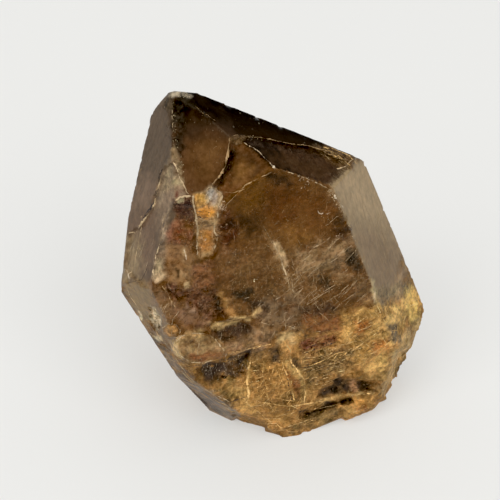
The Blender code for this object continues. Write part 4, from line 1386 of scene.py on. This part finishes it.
class Parts:
    """The corners, faces and colours of many small shapes in one piece."""

    def __init__(self):
        self.rows, self.faces, self.tints = [], [], []

    def octahedron(self, place, axes, shade):
        """Adds one closed eight-sided chip with the given half axes."""
        start = len(self.rows)
        for axis in axes:
            self.rows.extend((place + axis, place - axis))
        for x, y, z in itertools.product((0, 1), (2, 3), (4, 5)):
            corners = (start + x, start + y, start + z)
            self.faces.append(corners if (x + y + z) % 2 == 0 else corners[::-1])
        self.tints.extend([shade] * 6)

    def ridge(self, at, up, width, tall, shades):
        """Adds a closed three-sided ridge along places, widths and heights on the surface."""
        side = np.cross(np.gradient(at, axis=0), up)
        side /= np.maximum(np.linalg.norm(side, axis=1, keepdims=True), 1e-9)
        side, root = side * width[:, None], up * ROOT_DEPTH
        ring = np.stack((at + side - root, at + up * tall[:, None], at - side - root), 1)
        start = len(self.rows)
        last = start + 3 * (len(at) - 1)
        self.rows.extend(ring.reshape(-1, 3))
        self.tints.extend(np.repeat(shades, 3, 0))
        for first in range(start, last, 3):
            for j in range(3):
                a, b = first + j, first + (j + 1) % 3
                self.faces.append((a, b, b + 3, a + 3))
        self.faces.append((start + 2, start + 1, start))
        self.faces.append((last, last + 1, last + 2))

    def piece(self, name, material, rough):
        """The piece, coloured by its tint attribute, with a fine grain."""
        piece = mesh_piece(name, self.rows, self.faces)
        layer = piece.data.attributes.new("tint", "FLOAT_COLOR", "POINT")
        colours = np.hstack((np.clip(self.tints, 0, 1), np.ones((len(self.tints), 1))))
        layer.data.foreach_set("color", colours.astype(np.float32).ravel())
        n = Nodes(material)
        grain = n.noise(n.place, size=0.3, detail=3.0, rough=0.6)
        factor = n.maths("MULTIPLY_ADD", grain, 1.2, 0.4)
        n.feed(n.shader.inputs["Base Color"], n.scale(n.tint(), factor))
        n.feed(n.shader.inputs["Roughness"], n.maths("MULTIPLY_ADD", grain, 0.3, rough))
        piece.data.materials.append(n.material)
        return piece


def hair_routes(number, count, angle, spread, longest, outline):
    """Random short routes inside an outline."""
    generator = np.random.default_rng(HAIR_SHAPES + number)
    corners = np.array(pairs(outline))
    routes = []
    while len(routes) < count:
        middle = generator.uniform(corners.min(0), corners.max(0))
        turn = math.radians(angle + generator.normal(0, spread))
        half = 0.5 * longest * generator.uniform(0.25, 1.0)
        way = np.array((math.cos(turn), -math.sin(turn))) * half
        bow = np.array((way[1], -way[0])) * generator.normal(0, 0.05)
        if outline_distance(middle[None], pairs(outline))[0] < 0:
            routes.append((middle - way, middle + bow, middle + way))
    return routes


def back_hair_routes(number, count, slope, longest, azimuths, heights):
    """Random short routes on the hidden sides."""
    generator = np.random.default_rng(BACK_HAIR_SHAPES + number)
    for _ in range(count):
        middle = np.array((generator.uniform(*azimuths) * PER_DEGREE,
                           generator.uniform(*heights) * PER_MM))
        turn = math.radians(slope + generator.normal(0, 14))
        way = np.array((math.cos(turn), math.sin(turn))) * longest * generator.uniform(0.15, 0.5)
        yield middle - way, middle, middle + way


def resample(route, gap):
    """Points along a route, evenly spaced about a gap apart."""
    route = np.array(route, float)
    lengths = np.concatenate(([0.0], np.cumsum(np.linalg.norm(np.diff(route, axis=0), axis=1))))
    steps = max(int(lengths[-1] / gap), 2)
    at = np.linspace(0.0, lengths[-1], steps + 1)
    return np.stack([np.interp(at, lengths, route[:, i]) for i in (0, 1)], 1)


def add_vein(parts, route, tint, half_width, height, broken, seed, waver=VEIN_WAVER, cast=on_surface):
    """Adds tapered ridges along a route, where it meets the surface."""
    generator = np.random.default_rng(seed)
    spots = resample(route, VEIN_STEP)
    wander = np.cumsum(generator.normal(0, waver, (len(spots), 2)), 0)
    wander -= np.linspace(0, 1, len(spots))[:, None] * wander[-1]
    hits = [cast(spot) for spot in spots + np.clip(wander, -MOST_WAVER, MOST_WAVER)]
    hits = [found for found in hits if found[0] is not None]
    if len(hits) < 3:
        return
    places, ups = np.array(hits).swapaxes(0, 1)
    jump = np.linalg.norm(np.diff(places, axis=0), axis=1)
    for run in np.split(np.arange(len(places)), np.flatnonzero(jump > LONGEST_JUMP) + 1):
        if len(run) < 3:
            continue
        grow = generator.normal(0, 1, len(run) + SMOOTHING - 1)
        grow = np.convolve(grow, 2 * np.ones(SMOOTHING) / SMOOTHING, "valid")
        width = half_width * np.clip(1.0 + 0.45 * grow, 0.2, 1.8)
        gone = np.convolve(generator.random(len(run)) < 0.5 * broken, np.ones(2), "same") > 0
        width *= np.where(gone, 0.25, 1.0)
        width[[0, -1]] = TIP_WIDTH
        tall = height * np.clip(width / half_width, 0.1, 1.3)
        shades = linear(tint) * np.clip(1 + 0.25 * grow, 0.5, 1.4)[:, None]
        parts.ridge(places[run], ups[run], width, tall, shades)


def routes_of(veins_glints_shade):
    """Each vein's look and its route, from rows that hold one look and its routes."""
    for tint, half_width, height, broken, *routes in veins_glints_shade:
        for route in routes:
            yield (tint, half_width, height, broken), np.array(pairs(route))


def add_veins(parts):
    for seed, (look, route) in enumerate(routes_of(VEINS)):
        add_vein(parts, route, *look, seed)
    for number, (tint, count, angle, spread, longest, half_width, outline) in enumerate(HAIRS):
        routes = hair_routes(number, count, angle, spread, longest, outline)
        for seed, route in enumerate(routes, 1000 * number):
            add_vein(parts, route, tint, half_width, HAIR_HEIGHT, HAIR_BROKEN, seed, HAIR_WAVER)


def add_back_veins(parts):
    for seed, (look, route) in enumerate(routes_of(BACK_VEINS), BACK_VEIN_SEED):
        spots = route * (PER_DEGREE, PER_MM)
        add_vein(parts, spots, *look, seed, BACK_WAVER, round_the_back)
    for number, (tint, *where) in enumerate(BACK_HAIRS):
        routes = back_hair_routes(number, *where)
        for seed, route in enumerate(routes, BACK_HAIR_SEED + 200 * number):
            add_vein(parts, route, tint, BACK_HAIR_WIDTH, HAIR_HEIGHT, BACK_HAIR_BROKEN, seed,
                     HAIR_WAVER, round_the_back)


def scatter(generator, outline, count):
    """Random pixels inside an outline."""
    corners = np.array(pairs(outline))
    pixels = generator.uniform(corners.min(0), corners.max(0), (40 * count, 2))
    return pixels[outline_distance(pixels, pairs(outline)) < 0][:count]


def add_chips(parts):
    """Tiny glinting chips that lie half sunk in the surface."""
    for number, (tint, count, small, large, outline) in enumerate(CHIPS):
        generator = np.random.default_rng(CHIP_SEED + number)
        for pixel in scatter(generator, outline, count):
            place, normal = on_surface(pixel)
            size = small + (large - small) * generator.random() ** 2
            turn = generator.normal(size=3)
            glow = generator.uniform(0.55, 1.25)
            if place is None:
                continue
            across = np.cross(normal, turn)
            across /= np.linalg.norm(across)
            axes = (across * size * generator.uniform(0.9, 1.8),
                    np.cross(normal, across) * size * generator.uniform(0.5, 0.9),
                    normal * 0.5 * size)
            parts.octahedron(place, axes, np.clip(linear(tint) * glow, 0, 1))


def add_veils(parts):
    """A cloud of thin flakes sealed in the crystal."""
    for number, (tint, count, sizes, depths, outline) in enumerate(VEILS):
        generator = np.random.default_rng(VEIL_SEED + number)
        for pixel in scatter(generator, outline, count):
            place, normal = on_surface(pixel)
            size = generator.uniform(*sizes)
            depth = LEAST_DEPTH + (depths[1] - depths[0]) * generator.random() ** 2 + depths[0]
            turn = generator.normal(size=(3, 3))
            glow = generator.uniform(0.5, 1.1)
            if place is None:
                continue
            axes = np.linalg.qr(turn)[0] * (size, 0.6 * size, 0.12 * size)
            parts.octahedron(place - normal * depth, axes.T, np.clip(linear(tint) * glow, 0, 1))


surface_parts = Parts()
add_veins(surface_parts)
add_back_veins(surface_parts)
add_chips(surface_parts)
veins_glints_shade = surface_parts.piece("citrine_veins_glints_shade", "vein", rough=0.3)
sealed_parts = Parts()
add_veils(sealed_parts)
veils = sealed_parts.piece("citrine_veils", "veil", rough=0.25)


# --------------------------------------------------------------------------
# Camera, light and floor.
SENSOR = 36.0
FLOOR_COLOUR, FLOOR_GLOW, FLOOR_GLOW_STRENGTH = (0.38, 0.38, 0.372, 1), (1.0, 1.0, 0.97, 1), 0.40
WORLD_STRENGTH, BLACK_LEVEL = 0.35, 0.011
LIT_POINT = (0, 0, 0.02)
# Square lights: place and side in metres, and power in watts.
LIGHTS = {
    "overhead": ((0.0, 0.0, 1.05), 1.8, 9.0),
    "front_left": ((-0.80, -0.75, 1.15), 0.9, 7.2),
    "front_right": ((0.60, -0.85, 1.15), 0.9, 7.4),
}


def look_at(thing, target):
    way = Vector(target) - thing.location
    thing.rotation_euler = way.to_track_quat("-Z", "Y").to_euler()


def make_camera():
    camera = bpy.data.objects.new("camera", bpy.data.cameras.new("camera"))
    bpy.context.scene.collection.objects.link(camera)
    camera.data.sensor_width = SENSOR
    camera.data.lens = FOCAL / PICTURE * SENSOR
    camera.location = Vector((CENTRE + EYE) * MM)
    aim = CENTRE + EYE + DISTANCE * view_ray((PICTURE / 2, PICTURE / 2))
    look_at(camera, Vector(aim * MM))
    bpy.context.scene.camera = camera


def make_light(name, place, size, power):
    light = bpy.data.objects.new(name, bpy.data.lights.new(name, "AREA"))
    bpy.context.scene.collection.objects.link(light)
    light.data.shape = "RECTANGLE"
    light.data.size = light.data.size_y = size
    light.data.energy = power
    light.location = place
    look_at(light, LIT_POINT)


def make_floor():
    bpy.ops.mesh.primitive_plane_add(size=4.0)
    floor = bpy.context.object
    floor.name = "floor"
    material = bpy.data.materials.new("floor")
    material.use_nodes = True
    shader = material.node_tree.nodes["Principled BSDF"]
    shader.inputs["Base Color"].default_value = FLOOR_COLOUR
    shader.inputs["Emission Color"].default_value = FLOOR_GLOW
    shader.inputs["Emission Strength"].default_value = FLOOR_GLOW_STRENGTH
    shader.inputs["Roughness"].default_value = 0.9
    floor.data.materials.append(material)
    return floor


def make_world():
    world = bpy.data.worlds.new("studio")
    bpy.context.scene.world = world
    world.use_nodes = True
    background = world.node_tree.nodes["Background"]
    background.inputs["Color"].default_value = (1.0, 1.0, 1.0, 1)
    background.inputs["Strength"].default_value = WORLD_STRENGTH


def set_view():
    """A plain view whose blacks are a little deeper."""
    view = bpy.context.scene.view_settings
    view.view_transform = "Standard"
    view.use_curve_mapping = True
    view.curve_mapping.black_level = (BLACK_LEVEL, BLACK_LEVEL, BLACK_LEVEL)
    view.curve_mapping.update()


make_camera()
floor = make_floor()
make_world()
for name, (place, size, power) in LIGHTS.items():
    make_light(name, place, size, power)
set_view()

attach(crystal, "root")
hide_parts(NODE)
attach(veins_glints_shade, "root")
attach(veils, "root")
